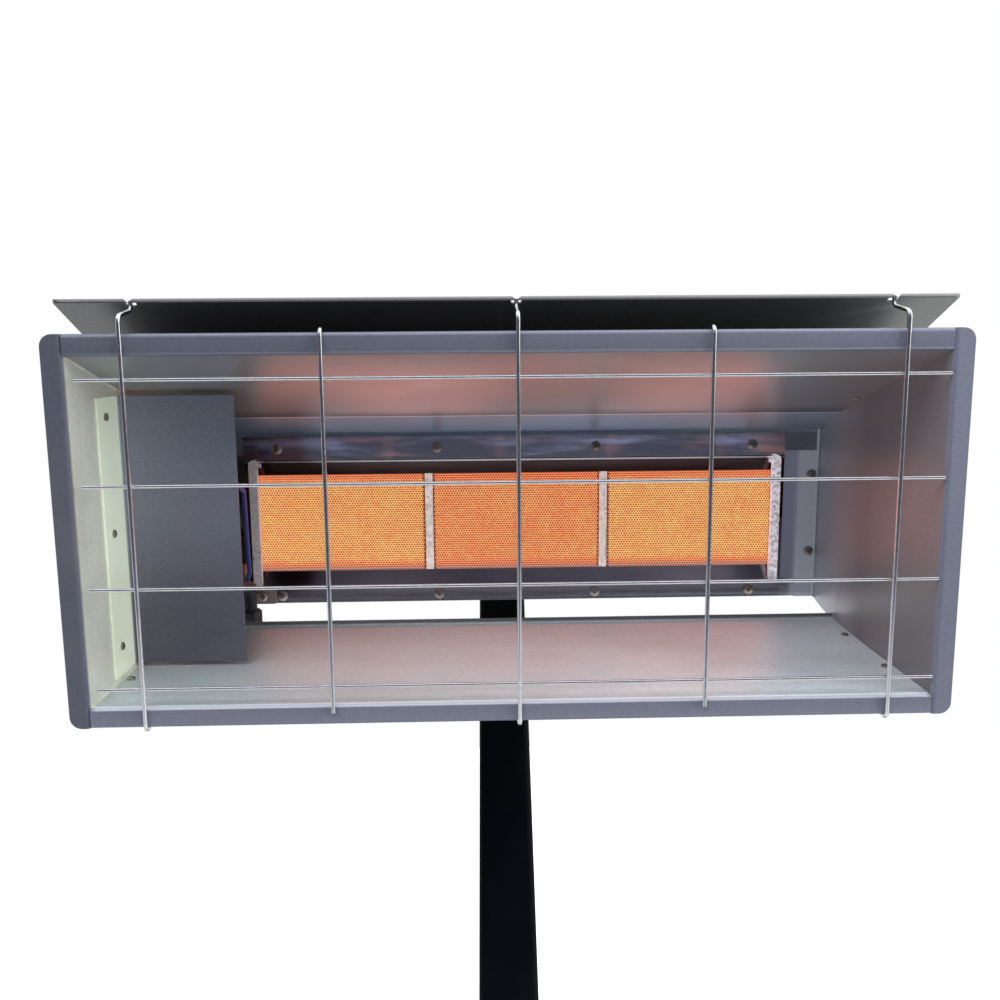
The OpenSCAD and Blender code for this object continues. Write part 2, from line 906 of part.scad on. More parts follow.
// Brass injector: a square elbow with its nozzle at the mixer's mouth
module injector() {
  color("goldenrod")
    on_head() {
      block([mouth_x - 17, mixer_y - 7, burner_z - 7], [mouth_x - 5, mixer_y + 7, burner_z + 7]);
      translate([mouth_x - 5, mixer_y, burner_z])
        rotate([0, 90, 0])
          cylinder(r1 = 4.5, r2 = 2, h = 4);
    }
}

module gas_tube() {
  x = mouth_x - 11;
  color("goldenrod")
    on_head() {
      rod([x, valve_y + valve_d / 2, burner_z], [x, mixer_y - 7, burner_z], 4);
      translate([x, valve_y + valve_d / 2, burner_z])
        rotate([-90, 0, 0])
          hexagon(13, 8);
      translate([x, mixer_y - 15, burner_z])
        rotate([-90, 0, 0])
          hexagon(13, 8);
    }
}

// Gas tap with its flame-failure magnet housing; its bush passes through the left end plate
module gas_valve() {
  face = valve_x - valve_w / 2;
  color("silver")
    on_head()
      difference() {
        union() {
          translate([0, valve_y, burner_z])
            across(face, valve_x + valve_w / 2)
              rounded(valve_d, valve_h, 5);
          translate([-half_w - sheet - 3, valve_y, burner_z])
            rotate([0, 90, 0])
              cylinder(r = bush_r, h = face + half_w + sheet + 3 + 1);
          translate([valve_x, valve_y - 10, burner_z + valve_h / 2 - 1])
            cylinder(r = 9, h = 15);
        }
        translate([-half_w - sheet - 4, valve_y, burner_z])
          rotate([0, 90, 0])
            cylinder(r = collar_r + 0.1, h = 14);
        translate([-half_w, valve_y, burner_z])
          rotate([0, 90, 0])
            cylinder(r = spindle_r + run_gap, h = 29);
      }
}

module valve_nut() {
  color("silver")
    on_head()
      translate([-half_w - sheet - 2.5, valve_y, burner_z])
        rotate([0, 90, 0])
          difference() {
            hexagon(24, 2.5);
            translate([0, 0, -1])
              cylinder(r = bush_r + 0.05, h = 5);
          }
}

// Collar that carries the spindle and slides in the valve's bush
module spindle_collar() {
  color("goldenrod")
    on_head()
      translate([-half_w - sheet - 2, valve_y, burner_z])
        rotate([0, 90, 0])
          difference() {
            cylinder(r = collar_r, h = 4);
            translate([0, 0, -1])
              cylinder(r = spindle_r + run_gap, h = 6);
          }
}

knob_face = -half_w - sheet - 3 - knob_press - face_gap;
module gas_spindle() {
  color("silver")
    on_head()
      translate([knob_face - 14, valve_y, burner_z])
        rotate([0, 90, 0])
          cylinder(r = spindle_r, h = -half_w + 20 - knob_face + 14);
}

// Control knob with a skirt, a grip bar and a pointer groove
module control_knob() {
  r = knob_d / 2;
  color([0.08, 0.08, 0.09])
    on_head()
      translate([knob_face, valve_y, burner_z])
        rotate([0, -90, 0])
          difference() {
            union() {
              rotate_extrude()
                polygon([[0, 0], [r, 0], [r, 3], [r - 2, 5], [r - 4, 6], [0, 6]]);
              linear_extrude(21)
                rounded(2 * r - 8, 11, 3);
            }
            translate([0, 0, -1])
              cylinder(r = spindle_r, h = 15);
            translate([r - 7, -0.75, 20])
              cube([8, 1.5, 3]);
          }
}

// Body of the push-button igniter, fixed in the left end plate
module igniter_body() {
  color([0.1, 0.1, 0.11])
    on_head()
      translate([-half_w - sheet, valve_y, igniter_z])
        rotate([0, 90, 0])
          difference() {
            union() {
              translate([0, 0, -2.5])
                cylinder(r = igniter_r + 4, h = 2.5);
              cylinder(r = igniter_r, h = igniter_l);
              translate([0, 0, igniter_l])
                cylinder(r = 3, h = 4);
            }
            translate([0, 0, -3])
              cylinder(r = button_d / 2 + 0.1, h = 20 + button_press);
          }
}

module igniter_button() {
  color("firebrick")
    on_head()
      translate([-half_w - sheet - 2.5 - button_press - 1.5, valve_y, igniter_z])
        rotate([0, 90, 0])
          rotate_extrude()
            polygon([[0, 0], [button_d / 2 - 1.5, 0], [button_d / 2, 1.5], [button_d / 2, 22], [0, 22]]);
}

// Insulated lead from the igniter down to the electrode
module ignition_lead() {
  start = -half_w - sheet + igniter_l + 4;
  drop_y = hood_depth - 18;
  color("royalblue")
    on_head()
      wire([
        [start, valve_y, igniter_z], [start + 6, valve_y, igniter_z], [start + 6, drop_y - 6, 0],
        [start + 6, drop_y, -64], [electrode_x + 8, drop_y, -104], [electrode_x, probe_y, -108],
        [electrode_x, probe_y, shelf_z - 12]
      ], 1.8);
}

module ignition_electrode() {
  color("whitesmoke")
    on_head()
      translate([electrode_x, probe_y, shelf_z - 12])
        rotate_extrude()
          polygon([
            [0, 0], [3, 0], [3, 13.5], [4.2, 13.5], [4.2, 16], [3, 16], [3, 28], [1, 30], [1, 42], [0, 42]
          ]);
}

// Flame probe with its lead back to the valve
module thermocouple() {
  color("peru")
    on_head() {
      translate([probe_x, probe_y, shelf_z - 12])
        rotate_extrude()
          polygon([[0, 0], [2.5, 0], [2.5, 13.5], [4.2, 13.5], [4.2, 16], [2, 16], [2, 38], [0, 40]]);
      wire([
        [-half_w + 18, valve_y + valve_d / 2, burner_z - 12],
        [-half_w + 18, hood_depth - 32, burner_z - 12],
        [-half_w + 20, hood_depth - 16, -112], [probe_x, probe_y, -114], [probe_x, probe_y, shelf_z - 12]
      ], 1.3);
    }
}

// Bracket on the burner frame that holds the electrode and the flame probe
module probe_bracket() {
  left = electrode_x - 7;
  right = burner_x - box_half_l + 19;
  color("silver")
    on_head()
      difference() {
        union() {
          facing(frame_face - 1.5, frame_face)
            translate([(right + probe_x - 5) / 2, rail_screw_z])
              rounded(right - probe_x + 5, 12, 2.5);
          block([left, probe_y - 7, shelf_z], [probe_x + 9, frame_face, shelf_z + 1.5]);
        }
        translate([probe_x, probe_y, shelf_z - 1])
          cylinder(r = 2.5 + hole_gap, h = 4);
        translate([electrode_x, probe_y, shelf_z - 1])
          cylinder(r = 3 + hole_gap, h = 4);
        translate([probe_screw_x, hood_depth + 3, rail_screw_z])
          rotate([90, 0, 0])
            cylinder(r = 2 + hole_gap, h = 8);
      }
}

// Steel pipe from the valve down behind the bottom panel, with the threaded gas inlet
module inlet_pipe() {
  end_z = floor_z + 2;
  color([0.1, 0.1, 0.11])
    on_head() {
      wire([
        [valve_x + 7, valve_y + 5, burner_z - valve_h / 2],
        [valve_x + 7, valve_y + 5, burner_z - valve_h / 2 - 14],
        [inlet_x, inlet_y, end_z + 26], [inlet_x, inlet_y, end_z - 4]
      ], 5);
      translate([inlet_x, inlet_y, end_z - 8])
        hexagon(15, 16);
      translate([inlet_x, inlet_y, end_z - 8 - inlet_l])
        difference() {
          cylinder(r = inlet_r, h = inlet_l + 1);
          translate([0, 0, -1])
            cylinder(r = 3.5, h = inlet_l);
        }
    }
}

// Outline of one ear of the head bracket, in Y and Z
module ear_outline() {
  root = 45;
  lean = asin((root - ear_r) / norm([arm_l, root - ear_r]));
  polygon(concat(
    [[cover_back, pivot_z + root], [cover_back, pivot_z - root]],
    arc([pivot_y, pivot_z], ear_r, -90 + lean, 90 - lean, 12)
  ));
}

// Bracket on the rear cover with two ears for the tilt axis
module head_bracket() {
  color([0.12, 0.12, 0.13])
    on_head()
      difference() {
        union() {
          facing(cover_back, cover_back + 3)
            translate([0, pivot_z])
              rounded(2 * bracket_x + 28, 2 * bracket_z + 28, 6);
          across(ear_in, ear_out)
            ear_outline();
          across(-ear_out, -ear_in)
            ear_outline();
        }
        translate([-ear_out - 1, pivot_y, pivot_z])
          rotate([0, 90, 0])
            cylinder(r = bolt_r + run_gap, h = 2 * ear_out + 2);
        for (x = [-bracket_x, bracket_x])
          for (z = [-bracket_z, bracket_z])
            translate([x, cover_back + 6, pivot_z + z])
              rotate([90, 0, 0])
                cylinder(r = 3 + hole_gap, h = 10);
      }
}

module bracket_screws() {
  color("silver")
    on_head()
      for (x = [-bracket_x, bracket_x])
        for (z = [-bracket_z, bracket_z])
          translate([x, cover_back + 3, pivot_z + z])
            rotate([-90, 0, 0])
              screw(6, 3.4, 3, 7);
}

module pivot_bolt() {
  head_x = -ear_out - face_gap;
  color("silver")
    on_pivot()
      rotate([0, 90, 0]) {
        translate([0, 0, head_x - 7])
          hexagon(17, 7);
        translate([0, 0, head_x - 1])
          cylinder(r = bolt_r, h = ear_out - head_x + 22);
      }
}

// Friction discs between the yoke and the head bracket
module friction_discs() {
  color([0.2, 0.2, 0.2])
    on_pivot()
      for (s = [-1, 1])
        translate([s * (yoke_half + disc_t / 2) - disc_t / 2, 0, 0])
          rotate([0, 90, 0])
            difference() {
              cylinder(r = 15, h = disc_t);
              translate([0, 0, -1])
                cylinder(r = bolt_r + hole_gap, h = disc_t + 2);
            }
}

// Lobed hand knob that clamps the tilt
module clamp_knob() {
  lobes = 5;
  start = ear_out + face_gap;
  color([0.08, 0.08, 0.09])
    on_pivot()
      translate([start, 0, 0])
        rotate([0, 90, 0])
          difference() {
            union() {
              cylinder(r = 11, h = 12);
              translate([0, 0, 10])
                cylinder(r = 17, h = 15);
              for (k = [0:lobes - 1])
                rotate([0, 0, k * 360 / lobes + 11])
                  translate([16, 0, 11])
                    cylinder(r = 7.5, h = 13);
            }
            translate([0, 0, -1])
              cylinder(r = bolt_r + run_gap, h = 24.5);
          }
}

// Side outline of the yoke's ear, in Y and Z round the tilt axis
module yoke_outline() {
  polygon(concat(
    [[-col_top_d / 2, -yoke_rise - yoke_t], [col_top_d / 2, -yoke_rise - yoke_t]],
    arc([0, 0], ear_r, 0, 180, 12)
  ));
}

// Strap folded to a U on top of the column, which carries the pivot bolt
module tilt_yoke() {
  color([0.1, 0.1, 0.11])
    on_pivot()
      difference() {
        across(-yoke_half, yoke_half)
          yoke_outline();
        block(
          [-yoke_half + yoke_t, -col_top_d, -yoke_rise], [yoke_half - yoke_t, col_top_d, ear_r + 1]
        );
        translate([-yoke_half - 1, 0, 0])
          rotate([0, 90, 0])
            cylinder(r = bolt_r + hole_gap, h = 2 * yoke_half + 2);
        translate([0, 0, -yoke_rise - yoke_t - 1])
          cylinder(r = 5 + hole_gap, h = yoke_t + 2);
      }
}

module yoke_bolt() {
  color("silver")
    on_pivot()
      translate([0, 0, -yoke_rise]) {
        hexagon(17, 6.4);
        translate([0, 0, -yoke_t - cap_t - 12])
          cylinder(r = 5, h = yoke_t + cap_t + 13);
      }
}

module column_cap() {
  color([0.1, 0.1, 0.11])
    translate([0, col_y, col_top_z])
      difference() {
        linear_extrude(cap_t)
            rounded(col_top_w + 4, col_top_d + 4, 5);
        translate([0, 0, -1])
          cylinder(r = 5 + hole_gap, h = cap_t + 2);
      }
}

// Tapered column, folded from sheet with round corners
module column() {
  module tapered(inset) {
    hull() {
      translate([0, 0, col_foot_z - inset])
        linear_extrude(tiny)
          rounded(col_foot_w - 2 * inset, col_foot_d - 2 * inset, 6 - inset);
      translate([0, 0, col_top_z - tiny + inset])
        linear_extrude(tiny)
          rounded(col_top_w - 2 * inset, col_top_d - 2 * inset, 6 - inset);
    }
  }
  color([0.06, 0.06, 0.08])
    translate([0, col_y, 0])
      difference() {
        tapered(0);
        tapered(col_wall);
      }
}

module column_plate() {
  color([0.1, 0.1, 0.11])
    translate([0, col_y, runner_top])
      difference() {
        linear_extrude(plate_t)
          rounded(col_foot_w + 84, beam_w, 6);
        for (x = [-1, 1])
          for (y = [-1, 1])
            translate([x * (col_foot_w / 2 + 26), y * (beam_w / 2 - 14), -1])
              cylinder(r = 4 + hole_gap, h = plate_t + 2);
      }
}

module column_bolts() {
  color("silver")
    translate([0, col_y, col_foot_z])
      for (x = [-1, 1])
        for (y = [-1, 1])
          translate([x * (col_foot_w / 2 + 26), y * (beam_w / 2 - 14), 0]) {
            hexagon(13, 5.3);
            translate([0, 0, -plate_t - tube_wall - 8])
              cylinder(r = 4, h = plate_t + tube_wall + 9);
          }
}

// Places of the bolts that join beam and runners, on one side
joint_places = [for (x = [-58, -30]) for (y = [-22, 22]) [x, y]];
joint_runner = [for (y = [-38, 38]) [0, y]];

// Rectangular tube along Y, standing on Z = 0
module tube_profile(w, h) {
  difference() {
    rounded(w, h, 4);
    rounded(w - 2 * tube_wall, h - 2 * tube_wall, 4 - tube_wall + 0.5);
  }
}

module cross_beam() {
  half = track / 2 - tube_w / 2;
  color([0.1, 0.1, 0.11])
    translate([0, col_y, pad_t + tube_h / 2])
      difference() {
        across(-half, half)
          tube_profile(beam_w, tube_h);
        for (x = [-1, 1])
          for (y = [-1, 1])
            translate([x * (col_foot_w / 2 + 26), y * (beam_w / 2 - 14), 0])
              cylinder(r = 4 + hole_gap, h = tube_h);
        for (s = [-1, 1])
          for (p = joint_places)
            translate([s * (track / 2 + p[0]), p[1], 0])
              cylinder(r = 3 + hole_gap, h = tube_h);
      }
}

module runner(s) {
  color([0.1, 0.1, 0.11])
    difference() {
      translate([s * track / 2, 0, pad_t + tube_h / 2])
        facing(-runner_l / 2, runner_l / 2)
          tube_profile(tube_w, tube_h);
      for (p = joint_runner)
        translate([s * track / 2, col_y + p[1], pad_t + tube_h / 2])
          cylinder(r = 3 + hole_gap, h = tube_h);
    }
}

module left_runner() {
  runner(-1);
}

module right_runner() {
  runner(1);
}

// Flat plates that tie the beam to the runners
module joint_plates() {
  inner = track / 2 - joint_reach;
  outer = track / 2 + tube_w / 2 - 4;
  color([0.1, 0.1, 0.11])
    for (s = [-1, 1])
      difference() {
        translate([s * (inner + outer) / 2, col_y, runner_top])
          linear_extrude(joint_t)
            rounded(outer - inner, joint_d, 6);
        for (p = concat(joint_places, joint_runner))
          translate([s * (track / 2 + p[0]), col_y + p[1], runner_top - 1])
            cylinder(r = 3 + hole_gap, h = joint_t + 2);
      }
}

module joint_bolts() {
  color("silver")
    for (s = [-1, 1])
      for (p = concat(joint_places, joint_runner))
        translate([s * (track / 2 + p[0]), col_y + p[1], runner_top + joint_t]) {
          hexagon(10, 4);
          translate([0, 0, -joint_t - tube_wall - 6])
            cylinder(r = 3, h = joint_t + tube_wall + 7);
        }
}

// Plastic caps in the open ends of the runners
module runner_caps() {
  inside = 0.5;
  color([0.05, 0.05, 0.05])
    for (x = [-1, 1])
      for (s = [0, 1])
        mirror([0, s, 0])
          translate([x * track / 2, 0, pad_t + tube_h / 2]) {
            facing(runner_l / 2, runner_l / 2 + 3)
              rounded(tube_w, tube_h, 4);
            facing(runner_l / 2 - 12, runner_l / 2)
              rounded(tube_w - 2 * tube_wall - inside, tube_h - 2 * tube_wall - inside, 2);
          }
}

// Pads under the runners, each with an anchor hole outside the tube
module foot_pads() {
  color([0.12, 0.12, 0.13])
    for (x = [-1, 1])
      for (y = [-1, 1])
        difference() {
          translate([x * (track / 2 + pad_out / 2), y * anchor_y, 0])
            linear_extrude(pad_t)
              rounded(tube_w + pad_out, pad_l, 5);
          translate([x * anchor_x, y * anchor_y, -1])
            cylinder(r = anchor_r, h = pad_t + 2);
        }
}

top_panel();
bottom_panel();
left_end_plate();
right_end_plate();
deflector();
deflector_screws();
wire_guard();
seam_screws();
lower_rail();
rear_cover();
cover_screws();
valve_shield();
shield_screws();
burner_frame();
left_end_bar();
right_end_bar();
left_plaque();
centre_plaque();
right_plaque();
plaque_packing();
mixing_box();
mixer_tube();
burner_screws();
probe_screw();
injector();
gas_tube();
gas_valve();
valve_nut();
spindle_collar();
gas_spindle();
control_knob();
igniter_body();
igniter_button();
ignition_lead();
ignition_electrode();
thermocouple();
probe_bracket();
inlet_pipe();
head_bracket();
bracket_screws();
pivot_bolt();
friction_discs();
clamp_knob();
tilt_yoke();
yoke_bolt();
column_cap();
column();
column_plate();
column_bolts();
cross_beam();
left_runner();
right_runner();
joint_plates();
joint_bolts();
runner_caps();
foot_pads();
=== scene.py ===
"""Looks, light and camera for a radiant workshop heater on its stand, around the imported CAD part."""

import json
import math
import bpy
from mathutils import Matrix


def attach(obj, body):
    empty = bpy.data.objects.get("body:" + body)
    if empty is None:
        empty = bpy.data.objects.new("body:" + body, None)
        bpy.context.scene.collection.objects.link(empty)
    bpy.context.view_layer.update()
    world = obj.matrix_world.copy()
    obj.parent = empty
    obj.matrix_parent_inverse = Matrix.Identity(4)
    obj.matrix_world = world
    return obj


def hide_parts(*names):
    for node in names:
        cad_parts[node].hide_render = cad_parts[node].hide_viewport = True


bl_info = {
    "name": "Radiant Workshop Heater",
    "version": (1, 0, 0),
    "blender": (4, 5, 0),
    "location": "View3D > Sidebar > Heater",
    "description": "Finishes a radiant gas heater and sets up the studio it stands in",
    "category": "Object",
}

import bmesh
import bpy
from bpy.props import FloatProperty, FloatVectorProperty, IntProperty, PointerProperty
from mathutils import Matrix, Vector

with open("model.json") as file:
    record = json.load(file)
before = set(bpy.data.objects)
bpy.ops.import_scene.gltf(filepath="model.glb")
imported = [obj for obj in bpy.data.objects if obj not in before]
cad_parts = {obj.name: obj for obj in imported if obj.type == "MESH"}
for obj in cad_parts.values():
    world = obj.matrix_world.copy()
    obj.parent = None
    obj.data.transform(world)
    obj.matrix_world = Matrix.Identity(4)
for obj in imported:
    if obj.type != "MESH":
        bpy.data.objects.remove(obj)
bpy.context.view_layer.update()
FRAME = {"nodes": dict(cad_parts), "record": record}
MATERIALS = {}

# Millimetres in a metre
MM = 1000.0

# Places on the hood where its finish and its painted light and shade change, in the head's frame in
# millimetres
HOOD_DEPTH = 200.0
# Depths between which the rim's front bends into the hood
RIM_BEND = (0.9, 3.5)
WALL_X = 250.0
FLOOR_Z = -103.0
# The ceiling's height at the rim, and how far it falls with every millimetre of depth
CEILING_Z = 103.0
CEILING_FALL = 46 / 163
# The fold where the ceiling turns down into its steep facet, and that facet's line
FOLD_Y = 164.0
FACET_Z = 129.7
FACET_FALL = 0.446
# Front of the end plates' rear flanges
FLANGE_Y = 201.0
# Front of the shield before the gas valve, and the inside of the rear cover's back
SHIELD_Y = 76.0
COVER_Y = 250.0
# Folds of the burner frame above and below the plaques, and where its outer flanges begin
UPPER_FOLD_Z = 20.2
LOWER_FOLD_Z = -80.6
UPPER_FLANGE_Z = 21.9
LOWER_FLANGE_Z = -81.8

BLACK = (0.0, 0.0, 0.0)
# Light that a fold of bare sheet catches
FOLD_COLOUR = (0.85, 0.87, 0.92)


# Sizes and colours that a user may change


def distance(name, description, default):
    """A property for a length in metres."""
    return FloatProperty(name=name, description=description, default=default, subtype="DISTANCE")


def tint(name, description, default, highest=1.0):
    """A property for a colour."""
    return FloatVectorProperty(
        name=name, description=description, default=default, subtype="COLOR", max=highest
    )


class HeaterHead(bpy.types.PropertyGroup):
    """Where the head sits on the stand, and the sizes its loose pieces follow"""

    pivot_h: distance("Tilt Height", "Height of the tilt axis", 1.150)
    column_y: distance("Column Place", "Column behind the base's middle", 0.060)
    pivot_back: distance("Pivot Depth", "Tilt axis behind the rim", 0.316)
    pivot_up: distance("Pivot Rise", "Tilt axis above the middle of the mouth", -0.030)
    tilt: FloatProperty(
        name="Tilt", description="Nose-down tilt at rest", default=math.radians(20), subtype="ANGLE"
    )
    rim_top: distance("Rim Height", "Rim's upper edge above the middle", 0.1145)


class HeaterGuard(bpy.types.PropertyGroup):
    """The welded wire guard"""

    wire_r: distance("Upright Radius", "Radius of the upright wires", 0.0013)
    level_r: distance("Level Radius", "Radius of the level wires", 0.0011)
    shift: distance("Shift", "Guard's middle to the right of the hood's", 0.0026)
    hook_y: distance("Hook Depth", "Depth at which the hooks turn up", 0.020)
    upright_pitch: distance("Upright Pitch", "Between upright wires", 0.110)
    level_pitch: distance("Level Pitch", "Between level wires", 0.060)
    level_l: distance("Level Length", "Length of a level wire", 0.494)
    bend: distance("Bend Radius", "Radius of the wires' bends", 0.004)
    sides: IntProperty(name="Sides", description="Facets round a wire", default=14, min=6, max=32)


class HeaterDeflector(bpy.types.PropertyGroup):
    """The deflector's underside, from its front fold to its flange on the rear cover"""

    front_y: distance("Front Depth", "Depth of the front fold", 0.016)
    front_z: distance("Front Height", "Height of the front fold", 0.1338)
    land_y: distance("Flange Depth", "Depth of the flange's fold", 0.224)
    land_z: distance("Flange Height", "Height of the rear cover's top", 0.042)


class HeaterBurner(bpy.types.PropertyGroup):
    """The glowing plaques and their frame"""

    middle_x: distance("Burner Shift", "Burner's middle to the right", 0.010)
    middle_z: distance("Burner Height", "Burner's middle above the hood's", -0.030)
    face_y: distance("Plaque Depth", "Depth of the plaques' faces", 0.2054)
    width: distance("Plaque Width", "Width of one plaque", 0.132)
    height: distance("Plaque Height", "Height of one plaque", 0.092)
    spacing: distance("Plaque Pitch", "From one plaque's middle to the next", 0.138)
    pitch: distance("Hole Pitch", "Between two holes in a row", 0.00205)
    hole_r: distance("Hole Radius", "Radius of one hole", 0.00075)
    hole_d: distance("Hole Depth", "Depth of the holes that is modelled", 0.0014)
    hot: tint("Hot Colour", "Brightest webs between the holes", (1.0, 0.68, 0.20))
    warm: tint("Warm Colour", "Cooler webs", (0.95, 0.23, 0.085))
    cool: tint("Hole Colour", "Inside the holes", (0.15, 0.022, 0.010))
    throw: tint(
        "Thrown Light", "Colour and strength of the light the plaques throw", (0.95, 0.32, 0.24),
        highest=4.0,
    )


class HeaterPaint(bpy.types.PropertyGroup):
    """Colours of the hood's sheet, with painted light and shade in them, and of the stand"""

    # Bluish, as a painted reflection of the room
    outside: tint("Outside", "Sheet of the rims and outer faces", (0.22, 0.235, 0.31))
    floor: tint("Hood Floor", "Bright sheet of the bottom panel", (0.63, 0.715, 0.76))
    # Darker than the floor's sheet: painted shade
    ceiling: tint("Hood Ceiling", "Duller sheet above the flames", (0.375, 0.385, 0.40))
    # Painted light: the left wall lit from the right
    left: tint("Left Wall", "Sheet of the left wall's inside", (0.86, 0.90, 0.80))
    # Painted shade on the right wall
    right: tint("Right Wall", "Sheet of the right wall's inside", (0.30, 0.32, 0.35))
    stand: tint("Stand", "Colour of the stand's coating", (0.0015, 0.002, 0.004))


class HeaterStudio(bpy.types.PropertyGroup):
    """Camera and light"""

    lens: FloatProperty(name="Lens", description="Focal length in millimetres", default=34.2)
    camera: FloatVectorProperty(
        name="Camera", description="Camera's place in the head's frame",
        default=(-0.0222, -0.5374, 0.1041), subtype="XYZ",
    )
    ambient: FloatProperty(name="Ambient", description="Strength of the room's light", default=1.0)
    key: FloatProperty(name="Key", description="Power of the right softbox in watts", default=44.0)
    fill: FloatProperty(name="Fill", description="Power of the front softbox in watts", default=30.0)


def head_matrix():
    """The head's frame in the row frame, in metres."""
    h = bpy.context.scene.heater_head
    return (
        Matrix.Translation((0, h.column_y, h.pivot_h))
        @ Matrix.Rotation(h.tilt, 4, "X")
        @ Matrix.Translation((0, -h.pivot_back, -h.pivot_up))
    )


def head(x, y, z):
    """A point given in the head's frame in millimetres, in the row frame in metres."""
    return head_matrix() @ (Vector((x, y, z)) / MM)


def head_turn(v):
    """A direction given in the head's frame, in the row frame."""
    return head_matrix().to_3x3() @ Vector(v)


def deflector_z(y):
    """Height of the deflector's underside at a depth, both in metres."""
    d = bpy.context.scene.heater_deflector
    return d.land_z + (d.land_y - y) * (d.front_z - d.land_z) / (d.land_y - d.front_y)


# Node building


def fill(tree, node, inputs):
    """Links a node's inputs to other sockets, or sets their values."""
    for key, value in inputs.items():
        socket = node.inputs[key]
        if isinstance(value, bpy.types.NodeSocket):
            tree.links.new(value, socket)
        elif socket.type == "RGBA":
            socket.default_value = (*value[:3], 1.0)
        else:
            socket.default_value = value


def put(tree, kind, inputs=None, **settings):
    """Adds a node, sets it up and links or fills its inputs."""
    node = tree.nodes.new(kind)
    for key, value in settings.items():
        setattr(node, key, value)
    fill(tree, node, inputs or {})
    return node


def use(tree, name, **inputs):
    """A shader node group placed in a tree."""
    node = tree.nodes.new("ShaderNodeGroup")
    node.node_tree = bpy.data.node_groups[name]
    fill(tree, node, {key.replace("_", " "): value for key, value in inputs.items()})
    return node


def calc(tree, operation, *values, clamp=False):
    """A maths node's result."""
    node = put(tree, "ShaderNodeMath", dict(enumerate(values)), operation=operation)
    node.use_clamp = clamp
    return node.outputs[0]


def vector(tree, operation, a, b):
    """A vector maths node's result."""
    return put(tree, "ShaderNodeVectorMath", {0: a, 1: b}, operation=operation).outputs[0]


def scaled(tree, place, factor):
    """A vector multiplied by a number."""
    node = put(tree, "ShaderNodeVectorMath", {0: place, "Scale": factor}, operation="SCALE")
    return node.outputs[0]


def split(tree, place):
    """A place's X, Y and Z."""
    axes = put(tree, "ShaderNodeSeparateXYZ", {0: place})
    return [axes.outputs[k] for k in "XYZ"]


def noise(tree, place, scale, detail, roughness=0.5):
    """A noise texture's value at a place."""
    return put(
        tree, "ShaderNodeTexNoise",
        {"Vector": place, "Scale": scale, "Detail": detail, "Roughness": roughness},
    ).outputs["Fac"]


def mix(tree, factor, a, b):
    """Two colours mixed by a factor."""
    node = put(tree, "ShaderNodeMix", data_type="RGBA")
    fill(tree, node, {0: factor, 6: a, 7: b})
    return node.outputs[2]


def lit(tree, mask, light):
    """Light where a mask is 1, and none where it is 0."""
    return mix(tree, mask, BLACK, light)


def ramp(tree, value, low, high, out_low=0.0, out_high=1.0):
    """value mapped smoothly from low..high to out_low..out_high."""
    node = put(
        tree, "ShaderNodeMapRange",
        {"Value": value, "From Min": low, "From Max": high, "To Min": out_low, "To Max": out_high},
        interpolation_type="SMOOTHSTEP",
    )
    return node.outputs["Result"]


def above(tree, value, edge, soft):
    """A mask that is 1 above an edge, with half the width of its change."""
    return ramp(tree, value, edge - soft, edge + soft)


def below(tree, value, edge, soft):
    """A mask that is 1 below an edge, with half the width of its change."""
    return ramp(tree, value, edge + soft, edge - soft)


def between(tree, value, start, full, last, end):
    """A mask that is 1 from full to last and fades to 0 at start and at end."""
    return product(tree, ramp(tree, value, start, full), ramp(tree, value, end, last))


def around(tree, value, middle, none, full, *levels):
    """A mask of the distance from a middle: 0 at the distance none, 1 at the distance full."""
    away = calc(tree, "ABSOLUTE", calc(tree, "SUBTRACT", value, middle))
    return ramp(tree, away, none, full, *levels)


def product(tree, *values):
    """Several values multiplied."""
    result = values[0]
    for value in values[1:]:
        result = calc(tree, "MULTIPLY", result, value)
    return result


def toned(colour, *factors):
    """A colour with its channels multiplied by one factor, or each by its own, at most white."""
    if len(factors) == 1:
        factors = factors * 3
    return tuple(min(1.0, c * k) for c, k in zip(colour, factors))


def new_group(name, kind, inputs, outputs):
    """An empty node group with named sockets, and its input and output nodes."""
    tree = bpy.data.node_groups.new(name, kind)
    for side, sockets in (("INPUT", inputs), ("OUTPUT", outputs)):
        for label, socket_kind, *default in sockets:
            socket_kind = "NodeSocket" + socket_kind
            socket = tree.interface.new_socket(label, in_out=side, socket_type=socket_kind)
            if default:
                socket.default_value = default[0]
    return tree, tree.nodes.new("NodeGroupInput"), tree.nodes.new("NodeGroupOutput")


# Shared shader effects


def make_head_place():
    """Object coordinates turned into the head's frame, in millimetres."""
    tree, _, out = new_group("Head Place", "ShaderNodeTree", [], [("Place", "Vector")])
    h = bpy.context.scene.heater_head
    where = put(tree, "ShaderNodeTexCoord").outputs["Object"]
    moved = vector(tree, "SUBTRACT", where, (0, h.column_y, h.pivot_h))
    turned = put(
        tree, "ShaderNodeVectorRotate", {"Vector": moved, "Angle": -h.tilt}, rotation_type="X_AXIS"
    )
    shifted = vector(tree, "ADD", turned.outputs[0], (0, h.pivot_back, h.pivot_up))
    tree.links.new(scaled(tree, shifted, MM), out.inputs["Place"])


